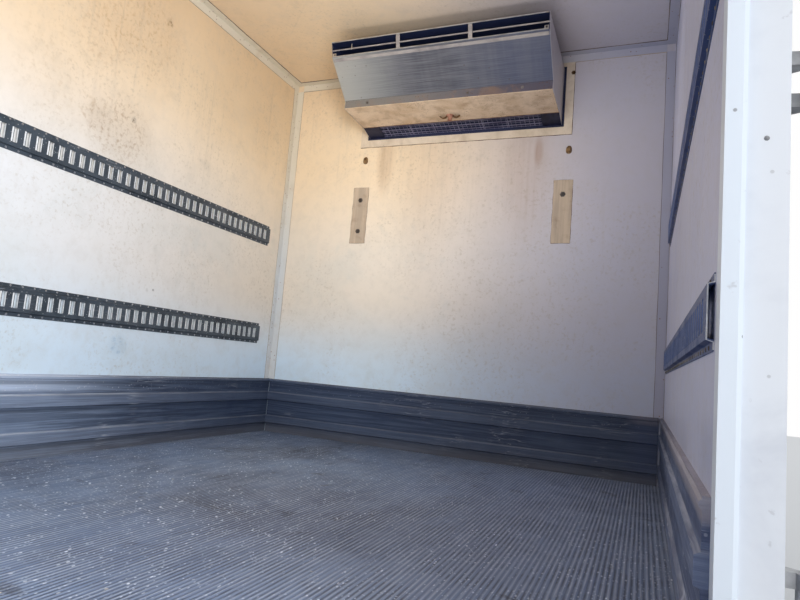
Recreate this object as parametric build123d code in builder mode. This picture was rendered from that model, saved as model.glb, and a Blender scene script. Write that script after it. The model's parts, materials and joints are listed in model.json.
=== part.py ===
from build123d import *
from math import cos, pi, radians, sin
import os

# Insulated body of a refrigerated truck: box, doors, cargo tracks and the front-wall cooling unit.
# Frame: +Z up, +Y to the front of the truck, +X to its right-hand side.
# Origin: centre of the four mounting holes, on the underside of the long sills.
# All sizes are in millimetres.

os.makedirs("parts", exist_ok=True)

# Driving sizes of the box
INNER_W = 2408.0
INNER_H = 2377.0
BODY_L = 4880.0
WALL_T = 88.0
FRONT_T = 102.0
ROOF_T = 88.0
RAIL_T = 3.5
FRAME_DEPTH = 100.0

# Underbody, from the ground up
SILL_H, SILL_B, SILL_T = 102.0, 60.0, 8.0
SILL_SPACING = 864.0
CROSS_H, CROSS_B, CROSS_T = 76.0, 50.0, 5.0
CROSS_PITCH = 305.0
FLOOR_PANEL_T = 98.0
DECK_T = 34.0
MOUNT_HOLE_R = 8.5
MOUNT_SPACING_Y = 3800.0

# Places that follow from them
HALF_IN = INNER_W / 2
HALF_OUT = HALF_IN + WALL_T
SKIN_X = HALF_OUT + RAIL_T
FRONT_Y = BODY_L / 2
BULKHEAD_Y = FRONT_Y - FRONT_T
REAR_Y = -BODY_L / 2
FRAME_IN_Y = REAR_Y + FRAME_DEPTH
PANEL_Z = SILL_H + CROSS_H
DECK_Z = PANEL_Z + FLOOR_PANEL_T
FLOOR_Z = DECK_Z + DECK_T
CEILING_Z = FLOOR_Z + INNER_H
TOP_Z = CEILING_Z + ROOF_T
BOX_IN_L = BULKHEAD_Y - FRAME_IN_Y
BOX_MID_Y = (BULKHEAD_Y + FRAME_IN_Y) / 2

# Door frames: a lip on the inner side, a sloped edge, a land for the seal, then the door's pocket
LIP_T = 24.0
SLOPE_T = 7.0
SLOPE_W = 5.0
LIP_W = 22.0
DOOR_GAP = 9.0
MEMBER_W = 31.0
SEAL_T = 8.0
SEAL_W = 12.0

# Side doorway, in the right-hand wall
SIDE_CLEAR_W = 1067.0
SIDE_CLEAR_H = 1980.0
SIDE_FRONT_Y = -62.0
SIDE_FLANGE_W = 34.0
SIDE_MID_Y = SIDE_FRONT_Y - SIDE_CLEAR_W / 2
SIDE_HOLE_W = SIDE_CLEAR_W + 2 * (LIP_W + MEMBER_W)
SIDE_HOLE_H = SIDE_CLEAR_H + 2 * (LIP_W + MEMBER_W)
SIDE_MID_Z = FLOOR_Z + SIDE_CLEAR_H / 2

# Rear doorway
REAR_CLEAR_W = INNER_W - 60.0
REAR_CLEAR_H = INNER_H - 45.0
REAR_MID_Z = FLOOR_Z + REAR_CLEAR_H / 2
REAR_SILL_DROP = 150.0
REAR_SILL_Z = FLOOR_Z - LIP_W - REAR_SILL_DROP

# Hinges, as plan offsets of the pin from the skin corner
PIN_OUT = 30.0
KNUCKLE_R = 15.0
PIN_R = 6.0
PIN_FIT = 0.3
KNUCKLE_H = 46.0
BUTT_H = 22.0
KNUCKLE_GAP = 0.4
KNUCKLE_SIDES = 8
STRAP_T = 9.0
STRAP_LIFT = 6.0
STRAP_L = 210.0
HINGE_INSET = 210.0
SIDE_PIN_LEAD = 14.0

# Lock gear
ROD_R = 12.0
ROD_STAND = 20.0
ROD_INSET = 130.0
HANDLE_Z = FLOOR_Z + 640.0
KEEPER_T = 7.0

# Cargo track: a hat section with slots, riveted to the liner
TRACK_H = 127.0
TRACK_T = 2.5
TRACK_RAISE = 12.7
TRACK_FLANGE = 15.0
TRACK_SLOPE = 3.0
TRACK_HEIGHTS = (1264.0, 627.0)
SLOT_PITCH = 50.8
SLOT_W = 17.0
SLOT_H = 60.0
TRACK_FRONT_GAP = 172.0
TRACK_REAR_GAP = 150.0
TRACK_DOOR_GAP = 16.0

# Liner trims and scuff band
TRIM_LEG = 45.0
TRIM_T = 2.5
TRIM_JOINT = 0.5
SCUFF_H = 340.0
SCUFF_BASE_T = 12.0
# columns: height of the rib's lower edge, height of its upper edge, rib thickness
SCUFF_RIBS = ((54.0, 105.0, 22.0), (202.0, 257.0, 22.0), (318.0, 336.0, 17.0))
RIB_SLOPE = 5.0
RIB_PITCH = 14.3
RIB_DEPTH = 1.6

# Cooling unit, evaporator side
EVAP_W = 1224.0
EVAP_SHEET = 2.5
# columns: distance from the front wall, height above the floor
EVAP_TOP = (0.0, 2294.0)
EVAP_NOSE = (597.0, 2294.0)
EVAP_LIP = (569.0, 2207.0)
EVAP_SEAM = (375.0, 2039.0)
EVAP_FOLD = (377.0, 1993.0)
EVAP_MOUTH = (110.0, 1984.0)
EVAP_BOTTOM = (0.0, 1955.0)
OUTLETS = 3
DIVIDER_W = 22.0
GUARD_ROD_R = 4.0
OPENING_MARGIN = 14.0
OPENING_STRIP = 46.0
OPENING_TOP_STRIP = 22.0
OPENING_STRIP_T = 6.0
COVER_X, COVER_W, COVER_T = 640.0, 106.0, 3.0
COVER_LOW, COVER_HIGH = 1256.0, 1624.0

# Cooling unit, condenser side
UNIT_W, UNIT_H, UNIT_D = 1880.0, 1050.0, 400.0
UNIT_Z = 2135.0
UNIT_FRAME_T = 40.0
UNIT_WALL = 8.0
UNIT_INNER = 34.0
UNIT_TAPER = 75.0
LOWER_DOOR_H = 300.0
SEAM_W, SEAM_DEPTH = 5.0, 4.0
LOUVRES, LOUVRE_PITCH, LOUVRE_H = 7, 34.0, 14.0
UNIT_CORNER, UNIT_NOSE = 55.0, 14.0
GRILLE_W, GRILLE_H, GRILLE_Z = 980.0, 560.0, 120.0
FAN_R = 235.0
BLADES = 6
ENGINE_W, ENGINE_D, ENGINE_H = 900.0, 300.0, 190.0


def at_y(y):
    """Plane across the truck at y: its x is the truck's X, its y the truck's Z, its normal -Y."""
    return Plane.XZ.offset(-y)


def save(builder, label):
    """Names the finished piece and writes it under that name."""
    builder.part.label = label
    export_step(builder.part, f"parts/{label}.step")


def lamp(length, height, cut):
    """A lens outline: a rectangle with its corners cut off."""
    a, b = length / 2, height / 2
    with BuildSketch() as outline:
        with BuildLine():
            Polyline(
                (a, cut - b),
                (a, b - cut),
                (a - cut, b),
                (cut - a, b),
                (-a, b - cut),
                (-a, cut - b),
                (cut - a, -b),
                (a - cut, -b),
                close=True,
            )
        make_face()
    return outline.sketch


def span(low, high):
    """Length and middle of a stretch from low to high."""
    return high - low, (low + high) / 2


# Long sills: channels whose lower flanges carry the four mounting holes
sill_x = SILL_SPACING / 2
hole_x = sill_x - SILL_B / 2
sill_l = BODY_L - 2 * FRAME_DEPTH
with BuildPart() as sills:
    for side in (-1, 1):
        with BuildSketch(at_y(sill_l / 2)):
            with BuildLine():
                Polyline(
                    (side * sill_x, 0),
                    (side * (sill_x - SILL_B), 0),
                    (side * (sill_x - SILL_B), SILL_T),
                    (side * (sill_x - SILL_T), SILL_T),
                    (side * (sill_x - SILL_T), SILL_H - SILL_T),
                    (side * (sill_x - SILL_B), SILL_H - SILL_T),
                    (side * (sill_x - SILL_B), SILL_H),
                    (side * sill_x, SILL_H),
                    close=True,
                )
            make_face()
        extrude(amount=sill_l)
    with BuildSketch(Plane.XY):
        with GridLocations(2 * hole_x, MOUNT_SPACING_Y, 2, 2):
            Circle(MOUNT_HOLE_R)
    extrude(amount=SILL_T, mode=Mode.SUBTRACT)
save(sills, "sills")

# Cross members: channels over the sills, under the floor panel
cross_count = int((sill_l - CROSS_B) // CROSS_PITCH) + 1
with BuildPart() as cross_members:
    with BuildSketch(Plane.YZ.offset(-HALF_IN)):
        cross_y = [(n - (cross_count - 1) / 2) * CROSS_PITCH for n in range(cross_count)]
        with Locations(*[(y, SILL_H + CROSS_H / 2) for y in cross_y]):
            Rectangle(CROSS_B, CROSS_H)
            with Locations((CROSS_T, 0)):
                Rectangle(CROSS_B, CROSS_H - 2 * CROSS_T, mode=Mode.SUBTRACT)
    extrude(amount=INNER_W)
save(cross_members, "cross_members")

# Insulated floor panel
with BuildPart() as floor_panel:
    with BuildSketch(Plane.XY.offset(PANEL_Z)):
        with Locations((0, BOX_MID_Y)):
            Rectangle(INNER_W, BOX_IN_L)
    extrude(amount=FLOOR_PANEL_T)
save(floor_panel, "floor_panel")

# Floor deck: planks with fine lengthwise ribs, drawn as one toothed section
groove_count = int((INNER_W - 2 * TRIM_LEG) // RIB_PITCH)
groove_x = [(n - (groove_count - 1) / 2) * RIB_PITCH for n in range(groove_count)]
with BuildPart() as floor_deck:
    with BuildSketch(at_y(BULKHEAD_Y)):
        with BuildLine():
            teeth = [(-HALF_IN, DECK_Z), (-HALF_IN, FLOOR_Z)]
            for x in groove_x:
                teeth += [(x - RIB_PITCH / 2, FLOOR_Z), (x, FLOOR_Z - RIB_DEPTH)]
            teeth += [(groove_x[-1] + RIB_PITCH / 2, FLOOR_Z), (HALF_IN, FLOOR_Z), (HALF_IN, DECK_Z)]
            Polyline(*teeth, close=True)
        make_face()
    extrude(amount=BOX_IN_L)
save(floor_deck, "floor_deck")

# Left wall: one insulated panel
with BuildPart() as wall_left:
    with BuildSketch(Plane.YZ.offset(-HALF_OUT)):
        with Locations((BOX_MID_Y, (PANEL_Z + TOP_Z) / 2)):
            Rectangle(BOX_IN_L, TOP_Z - PANEL_Z)
    extrude(amount=WALL_T)
save(wall_left, "wall_left")

# Right wall: the same panel with the side doorway cut through it
with BuildPart() as wall_right:
    with BuildSketch(Plane.YZ.offset(HALF_IN)):
        with Locations((BOX_MID_Y, (PANEL_Z + TOP_Z) / 2)):
            Rectangle(BOX_IN_L, TOP_Z - PANEL_Z)
        with Locations((SIDE_MID_Y, SIDE_MID_Z)):
            Rectangle(SIDE_HOLE_W, SIDE_HOLE_H, mode=Mode.SUBTRACT)
    extrude(amount=WALL_T)
save(wall_right, "wall_right")

# Front wall, with the opening that the cooling unit's bulkhead fills
opening_w = EVAP_W + 2 * OPENING_MARGIN
opening_low = FLOOR_Z + EVAP_BOTTOM[1] - OPENING_MARGIN
opening_high = FLOOR_Z + EVAP_TOP[1] + OPENING_MARGIN
opening_h, opening_z = span(opening_low, opening_high)
with BuildPart() as wall_front:
    with BuildSketch(at_y(FRONT_Y)):
        with Locations((0, (PANEL_Z + CEILING_Z) / 2)):
            Rectangle(INNER_W, CEILING_Z - PANEL_Z)
        with Locations((0, opening_z)):
            Rectangle(opening_w, opening_h, mode=Mode.SUBTRACT)
    extrude(amount=FRONT_T)
save(wall_front, "wall_front")

# Unit bulkhead: the insulated plug in that opening
PLUG_FIT = 0.3
with BuildPart() as unit_bulkhead:
    with BuildSketch(at_y(FRONT_Y)):
        with Locations((0, opening_z)):
            Rectangle(opening_w - 2 * PLUG_FIT, opening_h - 2 * PLUG_FIT)
    extrude(amount=FRONT_T)
save(unit_bulkhead, "unit_bulkhead")

# Roof panel, rounded over the front edge
ROOF_NOSE_R = 60.0
with BuildPart() as roof:
    with BuildSketch(Plane.XY.offset(CEILING_Z)):
        with Locations((0, (FRAME_IN_Y + FRONT_Y) / 2)):
            Rectangle(INNER_W, FRONT_Y - FRAME_IN_Y)
    extrude(amount=ROOF_T)
    fillet(roof.edges().filter_by(Axis.X).group_by(Axis.Y)[-1].sort_by(Axis.Z)[-1], ROOF_NOSE_R)
save(roof, "roof")

# Front corner posts, rounded as the air meets them
CORNER_R = 76.0
with BuildPart() as front_corner_posts:
    for side in (-1, 1):
        with BuildSketch(Plane.XY.offset(PANEL_Z)) as corner_section:
            with Locations((side * (HALF_IN + WALL_T / 2), FRONT_Y - FRONT_T / 2)):
                Rectangle(WALL_T, FRONT_T)
            outer = corner_section.vertices().sort_by(Axis.Y)[-2:].sort_by(Axis.X)
            fillet(outer[-1] if side > 0 else outer[0], CORNER_R)
        extrude(amount=TOP_Z - PANEL_Z)
save(front_corner_posts, "front_corner_posts")

# Roof rails: angle extrusions over the long upper edges, rounded outside
ROOF_RAIL_H, ROOF_RAIL_W, ROOF_RAIL_R = 110.0, 70.0, 14.0
roof_rail_z = TOP_Z + RAIL_T
with BuildPart() as roof_rails:
    for side in (-1, 1):
        with BuildSketch(at_y(BULKHEAD_Y)):
            with BuildLine():
                FilletPolyline(
                    (side * (SKIN_X - ROOF_RAIL_W), TOP_Z),
                    (side * (SKIN_X - ROOF_RAIL_W), roof_rail_z),
                    (side * SKIN_X, roof_rail_z),
                    (side * SKIN_X, roof_rail_z - ROOF_RAIL_H),
                    radius=RAIL_T * 0.9,
                )
                Polyline(
                    (side * SKIN_X, roof_rail_z - ROOF_RAIL_H),
                    (side * HALF_OUT, roof_rail_z - ROOF_RAIL_H),
                    (side * HALF_OUT, TOP_Z),
                    (side * (SKIN_X - ROOF_RAIL_W), TOP_Z),
                )
            make_face()
        extrude(amount=BOX_IN_L)
save(roof_rails, "roof_rails")

# Base rails: flanged extrusions along the lower edges, a short rib standing out
BASE_RAIL_H, BASE_RIB_H, BASE_RIB_W = 130.0, 12.0, 4.0
BASE_LIP = 60.0
base_low = PANEL_Z - RAIL_T
with BuildPart() as base_rails:
    for side in (-1, 1):
        with BuildSketch(at_y(BULKHEAD_Y)):
            with BuildLine():
                Polyline(
                    (side * (HALF_OUT - BASE_LIP), PANEL_Z),
                    (side * (HALF_OUT - BASE_LIP), base_low),
                    (side * SKIN_X, base_low),
                    (side * SKIN_X, base_low + BASE_RAIL_H - BASE_RIB_H),
                    (side * (SKIN_X + BASE_RIB_W), base_low + BASE_RAIL_H - BASE_RIB_H),
                    (side * (SKIN_X + BASE_RIB_W), base_low + BASE_RAIL_H),
                    (side * HALF_OUT, base_low + BASE_RAIL_H),
                    (side * HALF_OUT, PANEL_Z),
                    close=True,
                )
            make_face()
        extrude(amount=BOX_IN_L)
    if base_low + BASE_RAIL_H > SIDE_MID_Z - SIDE_HOLE_H / 2:
        with BuildSketch(Plane.YZ.offset(HALF_OUT)):
            with Locations((SIDE_MID_Y, SIDE_MID_Z)):
                Rectangle(SIDE_HOLE_W + 2 * SIDE_FLANGE_W, SIDE_HOLE_H + 2 * SIDE_FLANGE_W)
        extrude(amount=RAIL_T + BASE_RIB_W, mode=Mode.SUBTRACT)
save(base_rails, "base_rails")


def pocket(plane, width, height, depth):
    """The space of a doorway: clear opening, sloped edge and pocket; the plane is the inner face."""
    with BuildPart() as space:
        with BuildSketch(plane):
            Rectangle(width, height)
        extrude(amount=LIP_T)
        with BuildSketch(plane.offset(LIP_T)):
            Rectangle(width, height)
        with BuildSketch(plane.offset(LIP_T + SLOPE_T)):
            Rectangle(width + 2 * SLOPE_W, height + 2 * SLOPE_W)
        loft()
        with BuildSketch(plane.offset(LIP_T + SLOPE_T)):
            Rectangle(width + 2 * LIP_W, height + 2 * LIP_W)
        extrude(amount=depth - LIP_T - SLOPE_T)
    return space.part


def leaf(plane, width, height, depth):
    """A door leaf that fills such a pocket with DOOR_GAP all round; same plane, same depth."""
    edge = LIP_W - DOOR_GAP
    land = LIP_T + SLOPE_T
    with BuildPart() as panel:
        with BuildSketch(plane.offset(land + DOOR_GAP)):
            Rectangle(width + 2 * edge, height + 2 * edge)
        extrude(amount=depth - land - DOOR_GAP)
    return panel.part


def seal(plane, width, height):
    """The bulb seal that rings the inner face of such a leaf."""
    edge = LIP_W - DOOR_GAP
    with BuildPart() as ring:
        with BuildSketch(plane.offset(LIP_T + SLOPE_T + DOOR_GAP - SEAL_T)):
            Rectangle(width + 2 * edge, height + 2 * edge)
            Rectangle(width + 2 * (edge - SEAL_W), height + 2 * (edge - SEAL_W), mode=Mode.SUBTRACT)
        extrude(amount=SEAL_T)
    return ring.part


# Rear frame: a steel portal with a deep sill and a header
rear_plane = Plane((0, FRAME_IN_Y, REAR_MID_Z), x_dir=(1, 0, 0), z_dir=(0, -1, 0))
frame_top = TOP_Z + RAIL_T
rear_pocket = pocket(rear_plane, REAR_CLEAR_W, REAR_CLEAR_H, FRAME_DEPTH)
with BuildPart() as rear_frame:
    with BuildSketch(at_y(FRAME_IN_Y)):
        with Locations((0, (REAR_SILL_Z + frame_top) / 2)):
            Rectangle(2 * SKIN_X, frame_top - REAR_SILL_Z)
    extrude(amount=FRAME_DEPTH)
    add(rear_pocket, mode=Mode.SUBTRACT)
save(rear_frame, "rear_frame")

# Side door frame: the same section through the right wall, with an outer flange
side_plane = Plane((HALF_IN, SIDE_MID_Y, SIDE_MID_Z), x_dir=(0, 1, 0), z_dir=(1, 0, 0))
side_depth = WALL_T + RAIL_T
side_pocket = pocket(side_plane, SIDE_CLEAR_W, SIDE_CLEAR_H, side_depth)
with BuildPart() as side_door_frame:
    with BuildSketch(side_plane):
        Rectangle(SIDE_HOLE_W, SIDE_HOLE_H)
    extrude(amount=WALL_T)
    with BuildSketch(side_plane.offset(WALL_T)):
        Rectangle(SIDE_HOLE_W + 2 * SIDE_FLANGE_W, SIDE_HOLE_H + 2 * SIDE_FLANGE_W)
    extrude(amount=RAIL_T)
    add(side_pocket, mode=Mode.SUBTRACT)
save(side_door_frame, "side_door_frame")

# Hinge pins, in plan, and the heights of the hinges
rear_pin = (SKIN_X + PIN_OUT, REAR_Y - PIN_OUT)
side_pin = (SKIN_X + PIN_OUT, SIDE_FRONT_Y + LIP_W + SIDE_PIN_LEAD)
rear_hinge_z = [
    FLOOR_Z + HINGE_INSET + n * (REAR_CLEAR_H - 2 * HINGE_INSET) / 3 for n in range(4)
]
side_hinge_z = [
    FLOOR_Z + HINGE_INSET + n * (SIDE_CLEAR_H - 2 * HINGE_INSET) / 2 for n in range(3)
]


def pin_outline(radius, is_round):
    """Plan outline of a pin or its bore: round in a door's lowest hinge, eight-sided in the others."""
    with BuildSketch() as outline:
        if is_round:
            Circle(radius)
        else:
            RegularPolygon(radius, KNUCKLE_SIDES)
    return outline.sketch


def butt(pin, root, z, is_round):
    """A fixed hinge leaf: two knuckles, each on an arm of plan outline root, and the pin."""
    with BuildPart() as knuckles:
        for low in (z - KNUCKLE_H / 2 - KNUCKLE_GAP - BUTT_H, z + KNUCKLE_H / 2 + KNUCKLE_GAP):
            with BuildSketch(Plane.XY.offset(low)):
                with BuildLine():
                    Polyline(*root, close=True)
                make_face()
                with Locations(pin):
                    RegularPolygon(KNUCKLE_R, KNUCKLE_SIDES)
            extrude(amount=BUTT_H)
        with BuildSketch(Plane.XY.offset(z - KNUCKLE_H / 2 - KNUCKLE_GAP)):
            with Locations(pin):
                add(pin_outline(PIN_R, is_round))
        extrude(amount=KNUCKLE_H + 2 * KNUCKLE_GAP)
    return knuckles.part


def strap(pin, outline, z, is_round):
    """A moving hinge leaf: one knuckle on the pin and a strap whose plan outline is given."""
    bore = PIN_R + PIN_FIT
    with BuildPart() as band:
        with BuildSketch(Plane.XY.offset(z - KNUCKLE_H / 2)):
            with BuildLine():
                Polyline(*outline, close=True)
            make_face()
            with Locations(pin):
                RegularPolygon(KNUCKLE_R, KNUCKLE_SIDES)
                add(
                    pin_outline(bore if is_round else bore / cos(pi / KNUCKLE_SIDES), is_round),
                    mode=Mode.SUBTRACT,
                )
        extrude(amount=KNUCKLE_H)
    return band.part


# Fixed hinge leaves of all three doors
rear_root = [
    (SKIN_X, REAR_Y + 6),
    (SKIN_X, REAR_Y + 62),
    (SKIN_X + 10, REAR_Y + 62),
    (rear_pin[0] + KNUCKLE_R, rear_pin[1]),
    (rear_pin[0], rear_pin[1]),
]
side_root = [
    (SKIN_X, side_pin[1] - 4),
    (SKIN_X, side_pin[1] + 26),
    (SKIN_X + 8, side_pin[1] + 26),
    (side_pin[0], side_pin[1] + KNUCKLE_R),
    (side_pin[0], side_pin[1]),
]
with BuildPart() as hinge_butts:
    for side in (-1, 1):
        for z in rear_hinge_z:
            mirrored_root = [(side * x, y) for x, y in rear_root]
            add(butt((side * rear_pin[0], rear_pin[1]), mirrored_root, z, z == rear_hinge_z[0]))
    for z in side_hinge_z:
        add(butt(side_pin, side_root, z, z == side_hinge_z[0]))
save(hinge_butts, "hinge_butts")


def rear_strap(side):
    """Plan outline of a rear strap: on the door's face, lifted over the frame, out to the pin."""
    pocket_x = REAR_CLEAR_W / 2 + LIP_W - DOOR_GAP
    face, lifted = REAR_Y, REAR_Y - STRAP_LIFT
    outer = lifted - STRAP_T
    points = (
        (pocket_x - STRAP_L, face),
        (pocket_x, face),
        (pocket_x, lifted),
        (SKIN_X + 6, lifted),
        (rear_pin[0] + 4, rear_pin[1] + KNUCKLE_R - 1),
        (rear_pin[0], rear_pin[1] - KNUCKLE_R),
        (SKIN_X - 16, outer - 8),
        (SKIN_X - 40, outer),
        (pocket_x - STRAP_L, outer),
    )
    return [(side * x, y) for x, y in points]


def side_strap():
    """Plan outline of a side door strap, as it lies when the door is shut."""
    pocket_y = SIDE_FRONT_Y + LIP_W - DOOR_GAP
    face, lifted = SKIN_X, SKIN_X + STRAP_LIFT
    outer = lifted + STRAP_T
    return [
        (face, pocket_y - STRAP_L),
        (face, pocket_y),
        (lifted, pocket_y),
        (side_pin[0] - KNUCKLE_R + 1, side_pin[1] + 4),
        (side_pin[0] + KNUCKLE_R, side_pin[1]),
        (outer + 8, pocket_y - 8),
        (outer, pocket_y - 32),
        (outer, pocket_y - STRAP_L),
    ]


CAM_H = 26.0
GUIDE_H, GUIDE_W = 34.0, 74.0
HUB_H = 90.0
LEVER_L, LEVER_H, LEVER_T = 270.0, 30.0, 8.0


def lock(plane, x, low, high, handle_y, lever_way, guides):
    """A lock rod with cams, guides and a lever; the plane lies on the door's outer face."""
    with BuildPart() as gear:
        rod_foot = plane.from_local_coords((x, low, ROD_STAND))
        with BuildSketch(Plane(rod_foot, x_dir=plane.x_dir, z_dir=plane.y_dir)):
            RegularPolygon(ROD_R, 8)
        extrude(amount=high - low)
        for y in (low, high - CAM_H):
            cam_foot = plane.from_local_coords((x + lever_way * 14, y, ROD_STAND))
            with BuildSketch(Plane(cam_foot, x_dir=plane.x_dir, z_dir=plane.y_dir)):
                Rectangle(44, 14)
            extrude(amount=CAM_H)
        with BuildSketch(plane):
            with Locations(*[(x, y) for y in guides]):
                Rectangle(GUIDE_W, GUIDE_H)
        extrude(amount=4)
        with BuildSketch(plane):
            with Locations(*[(x, y) for y in guides]):
                Rectangle(2 * ROD_R + 10, GUIDE_H)
        extrude(amount=ROD_STAND + ROD_R + 4)
        with BuildSketch(plane.offset(ROD_STAND - LEVER_T / 2)):
            with Locations((x, handle_y)):
                Rectangle(2 * ROD_R + 14, HUB_H)
            with Locations((x + lever_way * (LEVER_L / 2 + ROD_R), handle_y)):
                add(lamp(LEVER_L, LEVER_H, LEVER_H / 3))
        extrude(amount=LEVER_T)
        with BuildSketch(plane):
            with Locations((x + lever_way * (LEVER_L - 30), handle_y)):
                Rectangle(40, 56)
        extrude(amount=ROD_STAND - LEVER_T / 2)
    return gear.part


# Rear doors: two leaves that meet in the middle, each with straps, a lock rod and a seal
ROD_GUIDES = (60.0, HANDLE_Z - FLOOR_Z - 120, HANDLE_Z - FLOOR_Z + 160, 1500.0, REAR_CLEAR_H - 60)
leaf_clear_w = REAR_CLEAR_W / 2 - LIP_W
leaf_mid_x = REAR_CLEAR_W / 4 + LIP_W / 2
rod_low = FLOOR_Z - LIP_W - 46.0
rod_high = FLOOR_Z + REAR_CLEAR_H + LIP_W + 46.0
for side, word in ((-1, "left"), (1, "right")):
    leaf_mid = (side * leaf_mid_x, FRAME_IN_Y, REAR_MID_Z)
    leaf_plane = Plane(leaf_mid, x_dir=(1, 0, 0), z_dir=(0, -1, 0))
    outer_plane = Plane((0, REAR_Y, 0), x_dir=(1, 0, 0), z_dir=(0, -1, 0))
    with BuildPart() as door_panel:
        add(leaf(leaf_plane, leaf_clear_w, REAR_CLEAR_H, FRAME_DEPTH))
    save(door_panel, f"door_{word}_panel")
    with BuildPart() as door_seal:
        add(seal(leaf_plane, leaf_clear_w, REAR_CLEAR_H))
    save(door_seal, f"door_{word}_seal")
    with BuildPart() as door_straps:
        for z in rear_hinge_z:
            add(strap((side * rear_pin[0], rear_pin[1]), rear_strap(side), z, z == rear_hinge_z[0]))
    save(door_straps, f"door_{word}_straps")
    with BuildPart() as door_lock:
        guide_z = [FLOOR_Z + height for height in ROD_GUIDES]
        add(lock(outer_plane, side * ROD_INSET, rod_low, rod_high, HANDLE_Z, side, guide_z))
    save(door_lock, f"door_{word}_lock")

# Keepers on the rear frame, behind the cams
with BuildPart() as lock_keepers:
    with BuildSketch(at_y(REAR_Y)):
        for side in (-1, 1):
            for z in (rod_low + CAM_H / 2, rod_high - CAM_H / 2):
                with Locations((side * ROD_INSET, z)):
                    Rectangle(84, 40)
    extrude(amount=KEEPER_T)
save(lock_keepers, "lock_keepers")

# Side door, made shut and then swung forward, a little short of flat, as it stands open
side_hinge_axis = Axis((side_pin[0], side_pin[1], 0), (0, 0, 1))
SIDE_SWING = 165.0
side_outer_plane = Plane((SKIN_X, 0, 0), x_dir=(0, 1, 0), z_dir=(1, 0, 0))


def save_swung(builder, label):
    """Writes a side door piece in its parked place."""
    swung = builder.part.rotate(side_hinge_axis, SIDE_SWING)
    swung.label = label
    export_step(swung, f"parts/{label}.step")


with BuildPart() as side_door_panel:
    add(leaf(side_plane, SIDE_CLEAR_W, SIDE_CLEAR_H, side_depth))
save_swung(side_door_panel, "side_door_panel")
with BuildPart() as side_door_seal:
    add(seal(side_plane, SIDE_CLEAR_W, SIDE_CLEAR_H))
save_swung(side_door_seal, "side_door_seal")
with BuildPart() as side_door_straps:
    for z in side_hinge_z:
        add(strap(side_pin, side_strap(), z, z == side_hinge_z[0]))
save_swung(side_door_straps, "side_door_straps")
side_rod_y = SIDE_FRONT_Y - SIDE_CLEAR_W + 90
side_rod_low, side_rod_high = FLOOR_Z + 8, FLOOR_Z + SIDE_CLEAR_H - 8
with BuildPart() as side_door_lock:
    side_guides = (FLOOR_Z + 80, HANDLE_Z + 200, HANDLE_Z + 480, FLOOR_Z + SIDE_CLEAR_H - 80)
    rod_ends = (side_rod_low, side_rod_high)
    add(lock(side_outer_plane, side_rod_y, *rod_ends, HANDLE_Z + 340, 1, side_guides))
save_swung(side_door_lock, "side_door_lock")

# Scuff band: one ribbed section run round the foot of the walls
scuff_section = [(0, 0), (SCUFF_BASE_T, 0)]
for rib_low, rib_high, rib_t in SCUFF_RIBS:
    scuff_section += [
        (SCUFF_BASE_T, rib_low),
        (rib_t, rib_low + RIB_SLOPE),
        (rib_t, rib_high - RIB_SLOPE),
        (SCUFF_BASE_T, rib_high),
    ]
scuff_section += [(SCUFF_BASE_T, SCUFF_H), (0, SCUFF_H)]
scuff_max = max(rib[2] for rib in SCUFF_RIBS)
side_hole_front = SIDE_MID_Y + SIDE_HOLE_W / 2
side_hole_rear = SIDE_MID_Y - SIDE_HOLE_W / 2
# columns: side of the box, rear end, front end
scuff_runs = (
    (-1, FRAME_IN_Y, BULKHEAD_Y),
    (1, FRAME_IN_Y, side_hole_rear),
    (1, side_hole_front, BULKHEAD_Y),
)
with BuildPart() as scuff_liners:
    for side, rear, front in scuff_runs:
        with BuildSketch(at_y(front)):
            with BuildLine():
                Polyline(*[(side * (HALF_IN - t), FLOOR_Z + z) for t, z in scuff_section], close=True)
            make_face()
        extrude(amount=front - rear)
    with BuildSketch(Plane.YZ.offset(-HALF_IN + scuff_max)):
        with BuildLine():
            Polyline(*[(BULKHEAD_Y - t, FLOOR_Z + z) for t, z in scuff_section], close=True)
        make_face()
    extrude(amount=INNER_W - 2 * scuff_max)
save(scuff_liners, "scuff_liners")

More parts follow.
